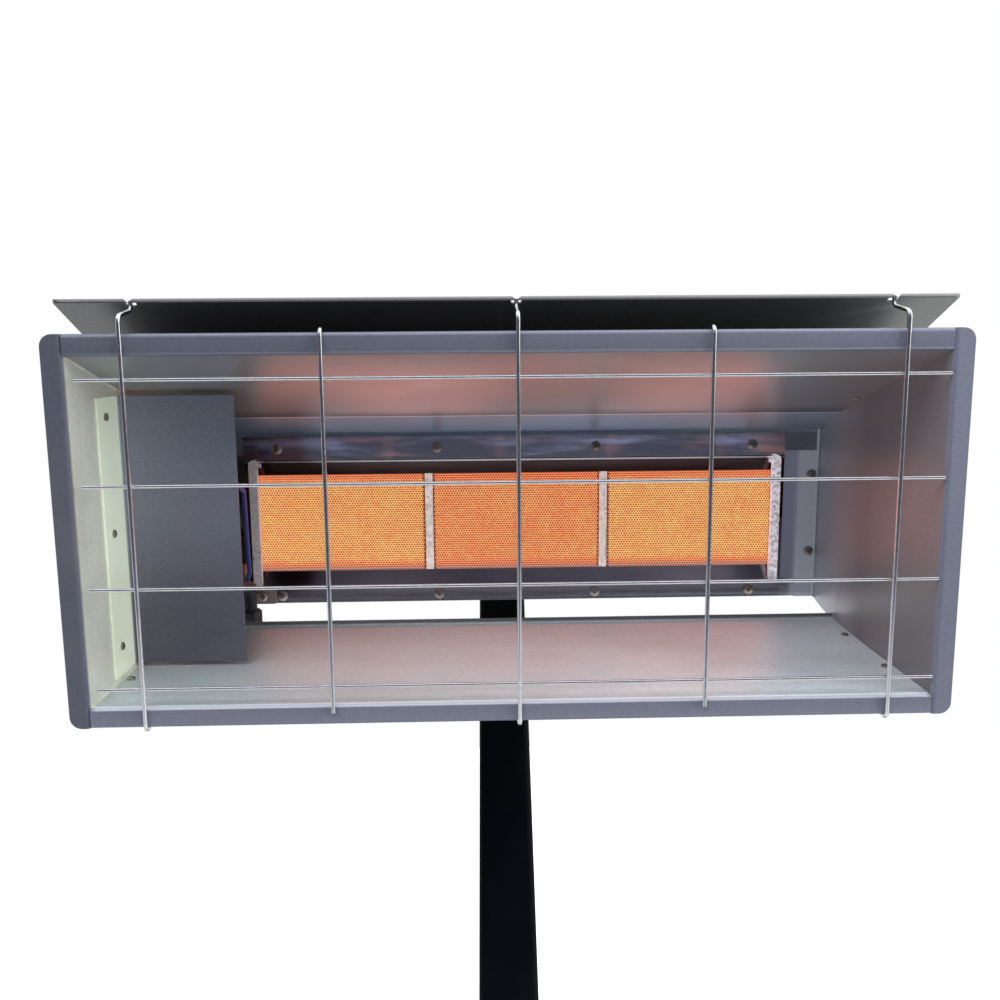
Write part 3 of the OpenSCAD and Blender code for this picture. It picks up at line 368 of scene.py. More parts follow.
def make_sheet_skin():
    """Fine grain, broad smudges, specks and thin scratches, from a place in millimetres."""
    tree, ins, out = new_group(
        "Sheet Skin", "ShaderNodeTree",
        [("Place", "Vector"), ("Colour", "Color", (0.5, 0.5, 0.5, 1)),
         ("Stain", "Color", (0.2, 0.18, 0.15, 1)), ("Stain Amount", "Float", 0.2),
         ("Grain Size", "Float", 0.35), ("Roughness", "Float", 0.4)],
        [("Colour", "Color"), ("Roughness", "Float"),
         ("Height", "Float")],
    )
    place = ins.outputs["Place"]
    grain = noise(tree, place, ins.outputs["Grain Size"], 5.0, 0.62)
    cloud = noise(tree, place, 0.021, 6.0, 0.6)
    speck = ramp(tree, noise(tree, place, 0.11, 3.0), 0.60, 0.74)
    streaks = noise(tree, vector(tree, "MULTIPLY", place, (0.03, 0.9, 1.6)), 0.5, 2.0)
    scratch = around(tree, streaks, 0.62, 0.006, 0.0)
    tone = calc(tree, "MULTIPLY_ADD", grain, 0.62, 0.69)
    tone = calc(tree, "MULTIPLY_ADD", scratch, 0.22, tone)
    stained = product(tree, ramp(tree, cloud, 0.38, 0.72), ins.outputs["Stain Amount"])
    clean = scaled(tree, ins.outputs["Colour"], tone)
    rough = calc(tree, "MULTIPLY_ADD", grain, 0.14, ins.outputs["Roughness"])
    rough = calc(tree, "MULTIPLY_ADD", cloud, 0.16, rough)
    rough = calc(tree, "SUBTRACT", rough, 0.14)
    rough = calc(tree, "MULTIPLY_ADD", speck, 0.06, rough, clamp=True)
    tree.links.new(mix(tree, stained, clean, ins.outputs["Stain"]), out.inputs["Colour"])
    tree.links.new(rough, out.inputs["Roughness"])
    tree.links.new(calc(tree, "MULTIPLY_ADD", speck, -0.3, grain), out.inputs["Height"])


def make_rust():
    """Patchy rust from a place in millimetres."""
    tree, ins, out = new_group(
        "Rust", "ShaderNodeTree",
        [("Place", "Vector"), ("Amount", "Float", 0.3)],
        [("Mask", "Float"), ("Colour", "Color")],
    )
    patch = noise(tree, ins.outputs["Place"], 0.16, 8.0, 0.7)
    fine = noise(tree, ins.outputs["Place"], 1.3, 4.0)
    edge = calc(tree, "SUBTRACT", 0.78, calc(tree, "MULTIPLY", ins.outputs["Amount"], 0.5))
    mask = ramp(tree, patch, calc(tree, "SUBTRACT", edge, 0.06), calc(tree, "ADD", edge, 0.06))
    tree.links.new(mask, out.inputs["Mask"])
    tree.links.new(mix(tree, fine, (0.24, 0.085, 0.03), (0.08, 0.03, 0.015)), out.inputs["Colour"])


# Materials


def start_material(name):
    """An empty material with a Principled shader on its output."""
    material = bpy.data.materials.new(name)
    material.use_nodes = True
    tree = material.node_tree
    tree.nodes.clear()
    shader = tree.nodes.new("ShaderNodeBsdfPrincipled")
    out = tree.nodes.new("ShaderNodeOutputMaterial")
    tree.links.new(shader.outputs[0], out.inputs["Surface"])
    MATERIALS[name] = material
    return tree, shader


def place_of(tree, on_head):
    """A place in millimetres: in the head's frame, or in the row frame for the stand."""
    if on_head:
        return use(tree, "Head Place").outputs["Place"]
    return scaled(tree, put(tree, "ShaderNodeTexCoord").outputs["Object"], MM)


def finish_skin(
    name, colour, rough, metallic=0.0, coat=0.0, stain=(0.2, 0.18, 0.15), stain_amount=0.2,
    grain=0.35, bump=0.02, on_head=True, rust=0.0, stretch=None, spec=0.5, glow=None,
):
    """A sheet, paint, plastic or metal finish made of the shared effects; bump is in millimetres."""
    tree, shader = start_material(name)
    place = place_of(tree, on_head)
    skin = use(
        tree, "Sheet Skin", Place=vector(tree, "MULTIPLY", place, stretch) if stretch else place,
        Colour=colour(tree, place) if callable(colour) else colour, Stain=stain,
        Stain_Amount=stain_amount, Grain_Size=grain, Roughness=rough,
    )
    shade, roughness = skin.outputs["Colour"], skin.outputs["Roughness"]
    if rust:
        spots = use(tree, "Rust", Place=place, Amount=rust)
        mask = spots.outputs["Mask"]
        shade = mix(tree, mask, shade, spots.outputs["Colour"])
        roughness = calc(tree, "MULTIPLY_ADD", mask, 0.4, roughness, clamp=True)
        metallic = product(tree, calc(tree, "SUBTRACT", 1.0, mask), metallic)
    raised = put(
        tree, "ShaderNodeBump",
        {"Height": skin.outputs["Height"], "Strength": 0.35, "Distance": bump / MM},
    )
    settings = {
        "Base Color": shade, "Roughness": roughness, "Metallic": metallic, "Coat Weight": coat,
        "Specular IOR Level": spec, "Normal": raised.outputs[0],
    }
    # glow gives painted light on the finish, as emission
    if glow:
        settings["Emission Color"] = glow(tree, place)
        settings["Emission Strength"] = 1.0
    fill(tree, shader, settings)


def inside_hood(tree, x, y, z):
    """A mask of the hood's inner faces."""
    slope = calc(tree, "MULTIPLY_ADD", y, -CEILING_FALL, CEILING_Z)
    steep = calc(tree, "MULTIPLY_ADD", y, -FACET_FALL, FACET_Z)
    room = calc(tree, "SUBTRACT", calc(tree, "MINIMUM", slope, steep), z)
    return product(
        tree, ramp(tree, y, *RIM_BEND), below(tree, y, HOOD_DEPTH, 0.4), above(tree, room, 0.0, 0.3),
        above(tree, z, FLOOR_Z, 0.2), around(tree, x, 0.0, WALL_X + 0.6, WALL_X + 0.3),
    )


def ceiling_tone(tree, x, y):
    """The top panel from below, with painted light: a dull slope in painted shade towards the fold, a
    painted highlight along the fold, and a steep facet with a bluish painted reflection, darker
    towards the rear and lighter to the right.
    """
    sheet = tuple(bpy.context.scene.heater_paint.ceiling)
    # A bluish painted reflection of the room on the facet, darker towards the rear
    facet = mix(
        tree, ramp(tree, y, FOLD_Y + 2, HOOD_DEPTH - 1), toned(sheet, 0.86, 1.18, 1.48),
        toned(sheet, 0.52, 0.68, 0.92),
    )
    # Painted light: the facet lighter towards the right
    facet = mix(tree, ramp(tree, x, 90.0, 220.0, 0.0, 0.26), facet, FOLD_COLOUR)
    # Painted shade on the slope just in front of the fold
    slope = mix(tree, ramp(tree, y, FOLD_Y - 26, FOLD_Y - 2), sheet, toned(sheet, 0.5))
    tone = mix(tree, ramp(tree, y, FOLD_Y - 2, FOLD_Y + 1), slope, facet)
    # Painted highlight along the fold
    return mix(tree, around(tree, y, FOLD_Y, 1.2, 0.5), tone, FOLD_COLOUR)


def right_tone(tree, y, z):
    """The right wall in painted shade, darker at its foot and painted lighter deep inside."""
    sheet = tuple(bpy.context.scene.heater_paint.right)
    tone = mix(tree, ramp(tree, z, 40.0, -95.0), sheet, toned(sheet, 0.72))
    return mix(tree, ramp(tree, y, 105.0, 170.0), tone, toned(sheet, 1.7))


def outer_tone(tree, x, y, z):
    """Rims and outer faces: bluish in front, where they carry a painted reflection of the room,
    painted lighter to the right along the top and in painted shade on the left wall's outside, and
    plain behind.
    """
    sheet = bpy.context.scene.heater_paint.outside
    # Painted light: lighter to the right along the top
    top = mix(tree, ramp(tree, x, -WALL_X, WALL_X), toned(sheet, 0.82), toned(sheet, 1.25))
    tone = mix(tree, ramp(tree, z, -80.0, 80.0), toned(sheet, 1.05), top)
    # Painted shade on the left wall's outside
    tone = mix(tree, below(tree, x, -WALL_X, 0.5), tone, toned(sheet, 0.6))
    return mix(tree, ramp(tree, y, 5.0, 9.0), tone, (0.27, 0.277, 0.295))


def hood_colour(tree, place):
    """The hood's sheet: bluish on rims and outer faces, bare and brighter on its inner faces, with
    painted light: the floor painted lighter to the right, the left wall painted lit and the right wall
    in painted shade.
    """
    p = bpy.context.scene.heater_paint
    x, y, z = split(tree, place)
    # Painted light: the floor lighter towards the right
    ground = mix(tree, ramp(tree, x, -200.0, 200.0), toned(p.floor, 0.84), toned(p.floor, 1.28))
    tone = mix(tree, below(tree, z, FLOOR_Z + 3, 1.0), ceiling_tone(tree, x, y), ground)
    # The left wall's inside painted lit from the right
    tone = mix(tree, ramp(tree, x, 1.8 - WALL_X, 1.2 - WALL_X), tone, tuple(p.left))
    # The right wall's inside in painted shade
    tone = mix(tree, ramp(tree, x, WALL_X - 0.4, WALL_X - 0.1), tone, right_tone(tree, y, z))
    return mix(tree, inside_hood(tree, x, y, z), outer_tone(tree, x, y, z), tone)


def front_light(tree, place):
    """Light caught by the fold between the hood's floor and its lower rim."""
    x, y, z = split(tree, place)
    fold = product(
        tree, ramp(tree, y, 5.5, 2.5), ramp(tree, z, FLOOR_Z - 1.2, FLOOR_Z - 0.2),
        around(tree, x, 0.0, WALL_X, WALL_X - 4),
    )
    return lit(tree, fold, (0.27, 0.285, 0.31))


def end_light(tree, place):
    """Light on the front of the right end plate's rear flange."""
    x, y, _ = split(tree, place)
    face = product(
        tree, between(tree, x, WALL_X - 25, WALL_X - 22, WALL_X - 1.6, WALL_X - 1),
        between(tree, y, FLANGE_Y - 0.8, FLANGE_Y - 0.3, FLANGE_Y + 0.3, FLANGE_Y + 0.6),
    )
    return lit(tree, face, (0.11, 0.115, 0.145))


def ceiling_light(tree, place):
    """The plaques' blurred mirror images in the sheet above them."""
    x, y, z = split(tree, place)
    # Each image has its middle, the distance at which it has faded and that at which it is full
    left = around(tree, x, -62.0, 84.0, 8.0)
    right = around(tree, x, 122.0, 70.0, 10.0, 0.0, 0.7)
    level = calc(tree, "MULTIPLY_ADD", y, CEILING_FALL, z)
    image = product(
        tree, calc(tree, "MAXIMUM", left, right),
        between(tree, y, 4.0, 60.0, FOLD_Y - 14, FOLD_Y - 1),
        calc(tree, "MULTIPLY_ADD", noise(tree, place, 0.02, 1.0), 0.9, 0.5),
        below(tree, level, CEILING_Z - 0.1, 0.2),
    )
    return lit(tree, image, (0.17, 0.068, 0.062))


def band_light(tree, place):
    """Broken images of the room in the polished strip above the plaques."""
    x, _, z = split(tree, place)
    drawn = vector(tree, "MULTIPLY", place, (0.012, 0.02, 0.07))
    blue = ramp(tree, noise(tree, drawn, 1.0, 3.0), 0.47, 0.72)
    drawn = vector(tree, "ADD", drawn, (7.3, 2.1, 4.4))
    red = ramp(tree, noise(tree, drawn, 1.4, 3.0), 0.52, 0.74)
    light = mix(tree, blue, (0.0, 0.0, 0.004), (0.10, 0.12, 0.21))
    light = mix(tree, red, light, (0.10, 0.032, 0.026))
    low_z, high_z = 22.0, 39.0
    strip = product(
        tree, between(tree, z, low_z, low_z + 1.5, high_z - 5, high_z),
        ramp(tree, x, -180.0, -120.0, 0.2, 1.0),
    )
    return lit(tree, strip, light)


def frame_colour(tree, place):
    """The burner frame: polished flanges, the lower one in painted shade; a dark dish above and below
    the plaques, the lower dish painted lighter to the right; painted highlights on the folds.
    """
    x, _, z = split(tree, place)
    middle = bpy.context.scene.heater_burner.middle_z * MM
    upper = ramp(tree, z, middle, middle + 1)
    # Painted light: the lower dish lighter towards the right
    low = mix(tree, ramp(tree, x, -190.0, 150.0), (0.04, 0.033, 0.038), (0.28, 0.28, 0.33))
    high = mix(tree, ramp(tree, z, 9.0, 18.0), (0.045, 0.02, 0.016), (0.10, 0.06, 0.06))
    tone = mix(tree, upper, low, high)
    # Painted highlights along the folds, the upper one split by a dark line
    tone = mix(tree, around(tree, z, UPPER_FOLD_Z, 1.7, 1.4), tone, (1.0, 0.95, 0.92))
    tone = mix(tree, around(tree, z, UPPER_FOLD_Z, 0.55, 0.35), tone, (0.16, 0.12, 0.13))
    tone = mix(tree, around(tree, z, LOWER_FOLD_Z, 0.9, 0.6), tone, (0.95, 0.92, 0.93))
    flange = calc(
        tree, "MAXIMUM", above(tree, z, UPPER_FLANGE_Z, 0.2), below(tree, z, LOWER_FLANGE_Z, 0.2)
    )
    # The lower flange painted darker than the upper one: painted shade
    strip = mix(tree, upper, (0.32, 0.32, 0.37), (0.80, 0.80, 0.86))
    return mix(tree, flange, tone, strip)


def cover_light(tree, place):
    """Daylight that the rear cover's polished inside throws back at the right end."""
    x, y, _ = split(tree, place)
    inside = product(
        tree, ramp(tree, x, WALL_X - 24, WALL_X - 18), ramp(tree, y, COVER_Y + 0.8, COVER_Y + 0.3)
    )
    return lit(tree, inside, (0.085, 0.088, 0.125))


def bar_light(tree, place):
    """Brighter light on the right end bar than on the left one."""
    x, _, z = split(tree, place)
    tufts = ramp(tree, noise(tree, place, 0.35, 4.0), 0.35, 0.65, 0.35, 1.2)
    foot_z = -82.0
    level = product(tree, tufts, ramp(tree, z, foot_z, foot_z + 16, 0.15, 1.0))
    light = mix(tree, ramp(tree, x, -5.0, 5.0), (0.04, 0.03, 0.033), (0.46, 0.43, 0.47))
    return lit(tree, level, light)


def fibre_light(tree, place):
    """Painted light from the hot plaques on the fronts of the fibre strips between them."""
    _, y, _ = split(tree, place)
    face = bpy.context.scene.heater_burner.face_y * MM
    front = ramp(tree, y, face + 2.1, face + 0.2)
    tufts = ramp(tree, noise(tree, place, 0.5, 3.0), 0.35, 0.65, 0.35, 1.15)
    return lit(tree, product(tree, front, tufts), (0.52, 0.43, 0.39))


def deflector_colour(tree, place):
    """The deflector's sheet, painted lighter towards the right, where it mirrors more light."""
    x, _, _ = split(tree, place)
    return mix(tree, ramp(tree, x, -240.0, 240.0), (0.22, 0.22, 0.23), (0.33, 0.33, 0.33))


def shield_flange(tree, x, y):
    """A mask of the flange that holds the shield to the left wall."""
    return product(
        tree, ramp(tree, x, 3.5 - WALL_X, 1.4 - WALL_X),
        ramp(tree, y, SHIELD_Y - 0.5, SHIELD_Y - 3),
    )


def flange_light(tree, place):
    """Bright light on the shield's flange from the right."""
    x, y, _ = split(tree, place)
    return lit(tree, shield_flange(tree, x, y), (0.14, 0.175, 0.11))


def shield_colour(tree, place):
    """The shield: bluish in front with a painted reflection of the room, in painted shade towards its
    foot, with its flange painted as lit as the wall that carries it.
    """
    p = bpy.context.scene.heater_paint
    x, y, z = split(tree, place)
    # Painted shade: darker towards the shield's foot
    plain = mix(
        tree, ramp(tree, z, 50.0, -90.0), toned(p.outside, 1.22), toned(p.outside, 0.52, 0.46, 0.46)
    )
    # The flange painted lit, like the left wall
    return mix(tree, shield_flange(tree, x, y), plain, toned(p.left, 1.1))


def make_plaque_material():
    """Glowing ceramic: mottled webs, redder towards the upper and lower edges, and dark holes."""
    b = bpy.context.scene.heater_burner
    tree, shader = start_material("ceramic")
    place = place_of(tree, True)
    x, y, z = split(tree, place)
    face = b.face_y * MM
    hole = ramp(tree, y, face + 0.25, face + 1.0)
    rise = calc(tree, "SUBTRACT", z, b.middle_z * MM)
    edge = around(tree, rise, 0.5, 30.0, 37.0)
    # Darker along the plaque's top edge
    dark_top = ramp(tree, rise, 37.6, 38.6)
    ash = ramp(tree, rise, -34.5, -36.5)
    cloud = noise(tree, place, 0.045, 4.0)
    mottle = noise(tree, place, 0.42, 3.0, 0.7)
    heat = calc(tree, "MULTIPLY_ADD", cloud, 0.55, 0.22)
    heat = calc(tree, "MULTIPLY_ADD", calc(tree, "SUBTRACT", mottle, 0.5), 2.4, heat)
    heat = calc(tree, "ADD", heat, around(tree, x, b.middle_x * MM, 58.0, 78.0, -0.22, 0.06))
    heat = calc(tree, "SUBTRACT", heat, calc(tree, "MULTIPLY", edge, 0.75), clamp=True)
    web = mix(tree, heat, tuple(b.warm), tuple(b.hot))
    web = mix(tree, calc(tree, "MULTIPLY", ash, 0.75), web, (0.40, 0.27, 0.23))
    glow = mix(tree, hole, web, tuple(b.cool))
    glow = mix(tree, dark_top, glow, (0.045, 0.02, 0.018))
    seen = put(tree, "ShaderNodeLightPath").outputs["Is Camera Ray"]
    raised = put(tree, "ShaderNodeBump", {"Height": mottle, "Distance": 0.1 / MM})
    settings = {
        "Emission Color": mix(tree, seen, tuple(b.throw), glow), "Emission Strength": 0.9,
        "Base Color": mix(tree, hole, (0.34, 0.2, 0.14), (0.03, 0.012, 0.008)),
        "Normal": raised.outputs[0], "Roughness": 0.9,
    }
    fill(tree, shader, settings)


def make_head_materials():
    """Finishes of the hood, the burner, the valve and what hangs on them."""
    sheet = dict(
        rough=0.40, metallic=0.45, stain=(0.30, 0.29, 0.29), stain_amount=0.18, grain=0.7,
        bump=0.012, stretch=(0.45, 1, 1),
    )
    smooth_sheet = {**sheet, "metallic": 0.55, "rough": 0.34}
    bright_sheet = {**sheet, "metallic": 0.8, "rough": 0.30}
    finish_skin("hood_sheet", hood_colour, glow=end_light, **sheet)
    finish_skin("floor_sheet", hood_colour, glow=front_light, **sheet)
    finish_skin("shield_sheet", shield_colour, glow=flange_light, **sheet)
    finish_skin("ceiling_sheet", hood_colour, glow=ceiling_light, **smooth_sheet)
    finish_skin("deflector_sheet", deflector_colour, **bright_sheet)
    finish_skin("cover_sheet", (0.21, 0.217, 0.24), glow=cover_light, **sheet)
    finish_skin(
        "mirror_steel", frame_colour, 0.13, glow=band_light, metallic=1.0,
        stain=(0.30, 0.24, 0.26), stain_amount=0.5, stretch=(0.12, 1, 1),
    )
    finish_skin(
        "bar_steel", (0.85, 0.82, 0.84), 0.45, glow=bar_light, metallic=0.15, rust=0.26,
        stain=(0.5, 0.42, 0.36), stain_amount=0.3,
    )
    finish_skin(
        "guard_wire", (0.86, 0.87, 0.91), 0.18, metallic=1.0, stain=(0.42, 0.41, 0.44), bump=0.004
    )
    make_plaque_material()
    finish_skin(
        "fibre", (0.95, 0.88, 0.84), 0.95, glow=fibre_light, grain=1.6, bump=0.3,
        stain=(0.7, 0.56, 0.48), stain_amount=0.4,
    )
    finish_skin("box_steel", (0.42, 0.43, 0.45), 0.4, metallic=0.8, stain_amount=0.4)
    finish_skin("brass", (0.80, 0.58, 0.26), 0.3, metallic=1.0, stain_amount=0.3)
    finish_skin(
        "zinc_screw", (0.42, 0.39, 0.36), 0.30, metallic=1.0, rust=0.36, stain_amount=0.4,
        stain=(0.2, 0.14, 0.08),
    )
    finish_skin("valve_metal", (0.50, 0.51, 0.52), 0.5, metallic=0.9, grain=1.1, bump=0.08)
    finish_skin("spindle_steel", (0.60, 0.60, 0.61), 0.3, metallic=1.0)
    finish_skin("knob_plastic", (0.012, 0.012, 0.014), 0.42, grain=1.4, bump=0.05)
    finish_skin("button_plastic", (0.42, 0.02, 0.015), 0.28, coat=0.3)
    finish_skin("lead_blue", (0.03, 0.06, 0.33), 0.4)
    finish_skin("porcelain", (0.78, 0.77, 0.73), 0.2, coat=0.5)
    finish_skin(
        "copper", (0.50, 0.27, 0.14), 0.38, metallic=0.9, stain=(0.2, 0.1, 0.1), stain_amount=0.5
    )
    finish_skin("pipe_black", (0.012, 0.012, 0.014), 0.5)
    finish_skin(
        "bracket_steel", (0.42, 0.34, 0.33), 0.42, metallic=0.7, rust=0.2, stain=(0.3, 0.2, 0.18),
        stain_amount=0.5,
    )


def make_stand_materials():
    """Finishes of the stand, and of the bracket by which it carries the head."""
    paint = tuple(bpy.context.scene.heater_paint.stand)
    coating = dict(spec=0.07, bump=0.05, grain=0.8, stain=(0.008, 0.009, 0.013))
    finish_skin("stand_paint", paint, 0.5, on_head=False, **coating)
    finish_skin("bracket_paint", paint, 0.5, **coating)
    finish_skin("stand_zinc", (0.62, 0.63, 0.65), 0.32, metallic=1.0, on_head=False)
    finish_skin("disc_fibre", (0.05, 0.045, 0.04), 0.8, on_head=False)
    finish_skin("cap_plastic", (0.010, 0.010, 0.011), 0.5, on_head=False, bump=0.06)


# Geometry Nodes


def end_tree(tree, ins, out, made, smooth=False):
    """Realizes what a tree made, sets its material and ends the tree."""
    last = put(tree, "GeometryNodeRealizeInstances", {0: made.outputs[0]})
    if smooth:
        last = put(tree, "GeometryNodeSetShadeSmooth", {"Geometry": last.outputs[0]})
    painted = put(
        tree, "GeometryNodeSetMaterial",
        {"Geometry": last.outputs[0], "Material": ins.outputs["Material"]},
    )
    tree.links.new(painted.outputs[0], out.inputs[0])


def make_wire_nodes():
    """Guide lines with round corners, swept to wires and repeated in a straight row."""
    tree, ins, out = new_group(
        "Bent Wires", "GeometryNodeTree",
        [("Guides", "Geometry"), ("Wire Radius", "Float", 0.0014),
         ("Bend Radius", "Float", 0.004), ("Bend Steps", "Int", 6),
         ("Sides", "Int", 12), ("Count", "Int", 1),
         ("Step", "Vector", (0, 0, 0)), ("Material", "Material")],
        [("Wires", "Geometry")],
    )
    curve = put(tree, "GeometryNodeMeshToCurve", {"Mesh": ins.outputs["Guides"]})
    bent = put(
        tree, "GeometryNodeFilletCurve",
        {"Curve": curve.outputs[0], "Radius": ins.outputs["Bend Radius"],
         "Count": ins.outputs["Bend Steps"], "Limit Radius": True},
        mode="POLY",
    )
    circle = put(
        tree, "GeometryNodeCurvePrimitiveCircle",
        {"Resolution": ins.outputs["Sides"], "Radius": ins.outputs["Wire Radius"]},
    )
    swept = put(
        tree, "GeometryNodeCurveToMesh",
        {"Curve": bent.outputs[0], "Profile Curve": circle.outputs["Curve"], "Fill Caps": True},
    )
    row = put(
        tree, "GeometryNodeMeshLine",
        {"Count": ins.outputs["Count"], "Offset": ins.outputs["Step"]}, mode="OFFSET",
    )
    many = put(
        tree, "GeometryNodeInstanceOnPoints", {"Points": row.outputs[0], "Instance": swept.outputs[0]}
    )
    end_tree(tree, ins, out, many, smooth=True)


def make_hole_nodes():
    """One cell placed on every guide point, as a sheet of cells."""
    tree, ins, out = new_group(
        "Staggered Cells", "GeometryNodeTree",
        [("Guides", "Geometry"), ("Cell", "Object"),
         ("Turn", "Vector", (0, 0, 0)), ("Material", "Material")],
        [("Sheet", "Geometry")],
    )
    piece = put(tree, "GeometryNodeObjectInfo", {"Object": ins.outputs["Cell"]})
    turn = put(tree, "FunctionNodeEulerToRotation", {0: ins.outputs["Turn"]})
    many = put(
        tree, "GeometryNodeInstanceOnPoints",
        {"Points": ins.outputs["Guides"], "Instance": piece.outputs["Geometry"],
         "Rotation": turn.outputs[0]},
    )
    end_tree(tree, ins, out, many)


def make_fastener_nodes():
    """One fastener placed on every guide point, facing the point's stored direction."""
    tree, ins, out = new_group(
        "Fasteners", "GeometryNodeTree",
        [("Guides", "Geometry"), ("Fastener", "Object"),
         ("Seed", "Int", 1), ("Size", "Float", 1.0),
         ("Material", "Material")],
        [("Fasteners", "Geometry")],
    )
    piece = put(tree, "GeometryNodeObjectInfo", {"Object": ins.outputs["Fastener"]})
    facing = put(tree, "GeometryNodeInputNamedAttribute", {"Name": "facing"}, data_type="FLOAT_VECTOR")
    aligned = put(
        tree, "FunctionNodeAlignRotationToVector", {"Vector": facing.outputs["Attribute"]}, axis="Z"
    )
    spin = put(
        tree, "FunctionNodeRandomValue", {"Seed": ins.outputs["Seed"], 2: 0.0, 3: math.tau},
        data_type="FLOAT",
    )
    spun = put(tree, "ShaderNodeCombineXYZ", {"Z": spin.outputs[1]})
    as_rotation = put(tree, "FunctionNodeEulerToRotation", {0: spun.outputs[0]})
    turned = put(
        tree, "FunctionNodeRotateRotation",
        {0: aligned.outputs[0], 1: as_rotation.outputs[0]}, rotation_space="LOCAL",
    )
    size = put(tree, "ShaderNodeCombineXYZ", {k: ins.outputs["Size"] for k in "XYZ"})
    many = put(
        tree, "GeometryNodeInstanceOnPoints",
        {"Points": ins.outputs["Guides"], "Instance": piece.outputs["Geometry"],
         "Rotation": turned.outputs[0], "Scale": size.outputs[0]},
    )
    end_tree(tree, ins, out, many)


def identifier(tree, label):
    """The identifier of a node group's input."""
    return next(
        i.identifier for i in tree.interface.items_tree
        if i.item_type == "SOCKET" and i.in_out == "INPUT" and i.name == label
    )


def keep_result(obj):
    """Keeps what an object's modifiers make as its mesh."""
    bpy.context.view_layer.update()
    depsgraph = bpy.context.evaluated_depsgraph_get()
    mesh = bpy.data.meshes.new_from_object(
        obj.evaluated_get(depsgraph), preserve_all_data_layers=True, depsgraph=depsgraph
    )
    obj.modifiers.clear()
    obj.data = mesh
    if not mesh.polygons:
        raise RuntimeError(f"{obj.name} came out empty")


def grow(obj, group, **inputs):
    """Runs a node group on an object and keeps its result as the object's mesh."""
    tree = bpy.data.node_groups[group]
    modifier = obj.modifiers.new(group, "NODES")
    modifier.node_group = tree
    for key, value in inputs.items():
        modifier[identifier(tree, key.replace("_", " "))] = value
    keep_result(obj)
    return obj


# Mesh building


def add_object(name, data):
    """A new object in the scene."""
    obj = bpy.data.objects.new(name, data)
    bpy.context.scene.collection.objects.link(obj)
    return obj


def mesh_from(bm, name):
    """A mesh made of a bmesh, which is freed."""
    mesh = bpy.data.meshes.new(name)
    bm.to_mesh(mesh)
    bm.free()
    return mesh


def guide_object(name, lines):
    """An object of open polylines, each a list of points."""
    verts, edges = [], []
    for line in lines:
        start = len(verts)
        verts += [tuple(p) for p in line]
        edges += [(start + i, start + i + 1) for i in range(len(line) - 1)]
    mesh = bpy.data.meshes.new(name)
    mesh.from_pydata(verts, edges, [])
    return add_object(name, mesh)


def point_object(name, places):
    """An object of loose points, each with the direction its fastener faces."""
    mesh = bpy.data.meshes.new(name)
    mesh.from_pydata([tuple(p) for p, _ in places], [], [])
    facing = mesh.attributes.new("facing", "FLOAT_VECTOR", "POINT")
    for i, (_, direction) in enumerate(places):
        facing.data[i].vector = direction
    return add_object(name, mesh)


def ring(bm, r, z, steps, start=0.0):
    """Corners of a regular ring about Z, from a starting angle."""
    angles = [start + math.tau * k / steps for k in range(steps)]
    return [bm.verts.new((r * math.cos(a), r * math.sin(a), z)) for a in angles]


def join_rings(bm, a, b, steps):
    """Faces between two rings, either of which may be a single point."""
    for k in range(steps):
        n = (k + 1) % steps
        corners = (a[k % len(a)], a[n % len(a)], b[n % len(b)], b[k % len(b)])
        face = list(dict.fromkeys(corners))
        if len(face) > 2:
            bm.faces.new(face)


def lathe(name, profile, steps=32):
    """A turned mesh about Z from (radius, height) pairs in metres; ends on the axis close it."""
    bm = bmesh.new()
    rings = [ring(bm, r, z, steps) if r > 0 else [bm.verts.new((0, 0, z))] for r, z in profile]
    for a, b in zip(rings, rings[1:]):
        join_rings(bm, a, b, steps)
    bmesh.ops.recalc_face_normals(bm, faces=bm.faces)
    return mesh_from(bm, name)


def make_cell(width, hole_r, depth):
    """One six-sided cell with a blind hole that narrows a little, its face on Z = 0."""
    bm = bmesh.new()
    profile = ((width / math.sqrt(3), 0), (hole_r, 0), (hole_r * 0.94, -depth))
    rings = [ring(bm, r, z, 6, start=math.radians(30)) for r, z in profile]
    for a, b in zip(rings, rings[1:]):
        join_rings(bm, a, b, 6)
    bm.faces.new(rings[-1])
    return mesh_from(bm, "cell")


def carve(obj, cutter):
    """Cuts one object with another and keeps the result."""
    modifier = obj.modifiers.new("cut", "BOOLEAN")
    modifier.operation = "DIFFERENCE"
    modifier.solver = "EXACT"
    modifier.object = cutter
    keep_result(obj)
    bpy.data.objects.remove(cutter)


def soften(mesh, angle):
    """Smooth shading with sharp edges kept above an angle in degrees."""
    for face in mesh.polygons:
        face.use_smooth = True
    mesh.set_sharp_from_angle(angle=math.radians(angle))


# Half the outline of a pan head screw, as (radius, height) pairs in millimetres from the tip up
PAN_SCREW = (
    (0, -5), (1.8, -5), (1.8, 0), (3.9, 0), (4.0, 0.5), (3.85, 1.3), (3.3, 1.95), (2.3, 2.35),
    (1.0, 2.5), (0, 2.5),
)
# Length, width and height of one arm of its cross recess, and the height of the arm's middle
RECESS = (4.6, 0.85, 3.0)
RECESS_Z = 2.6


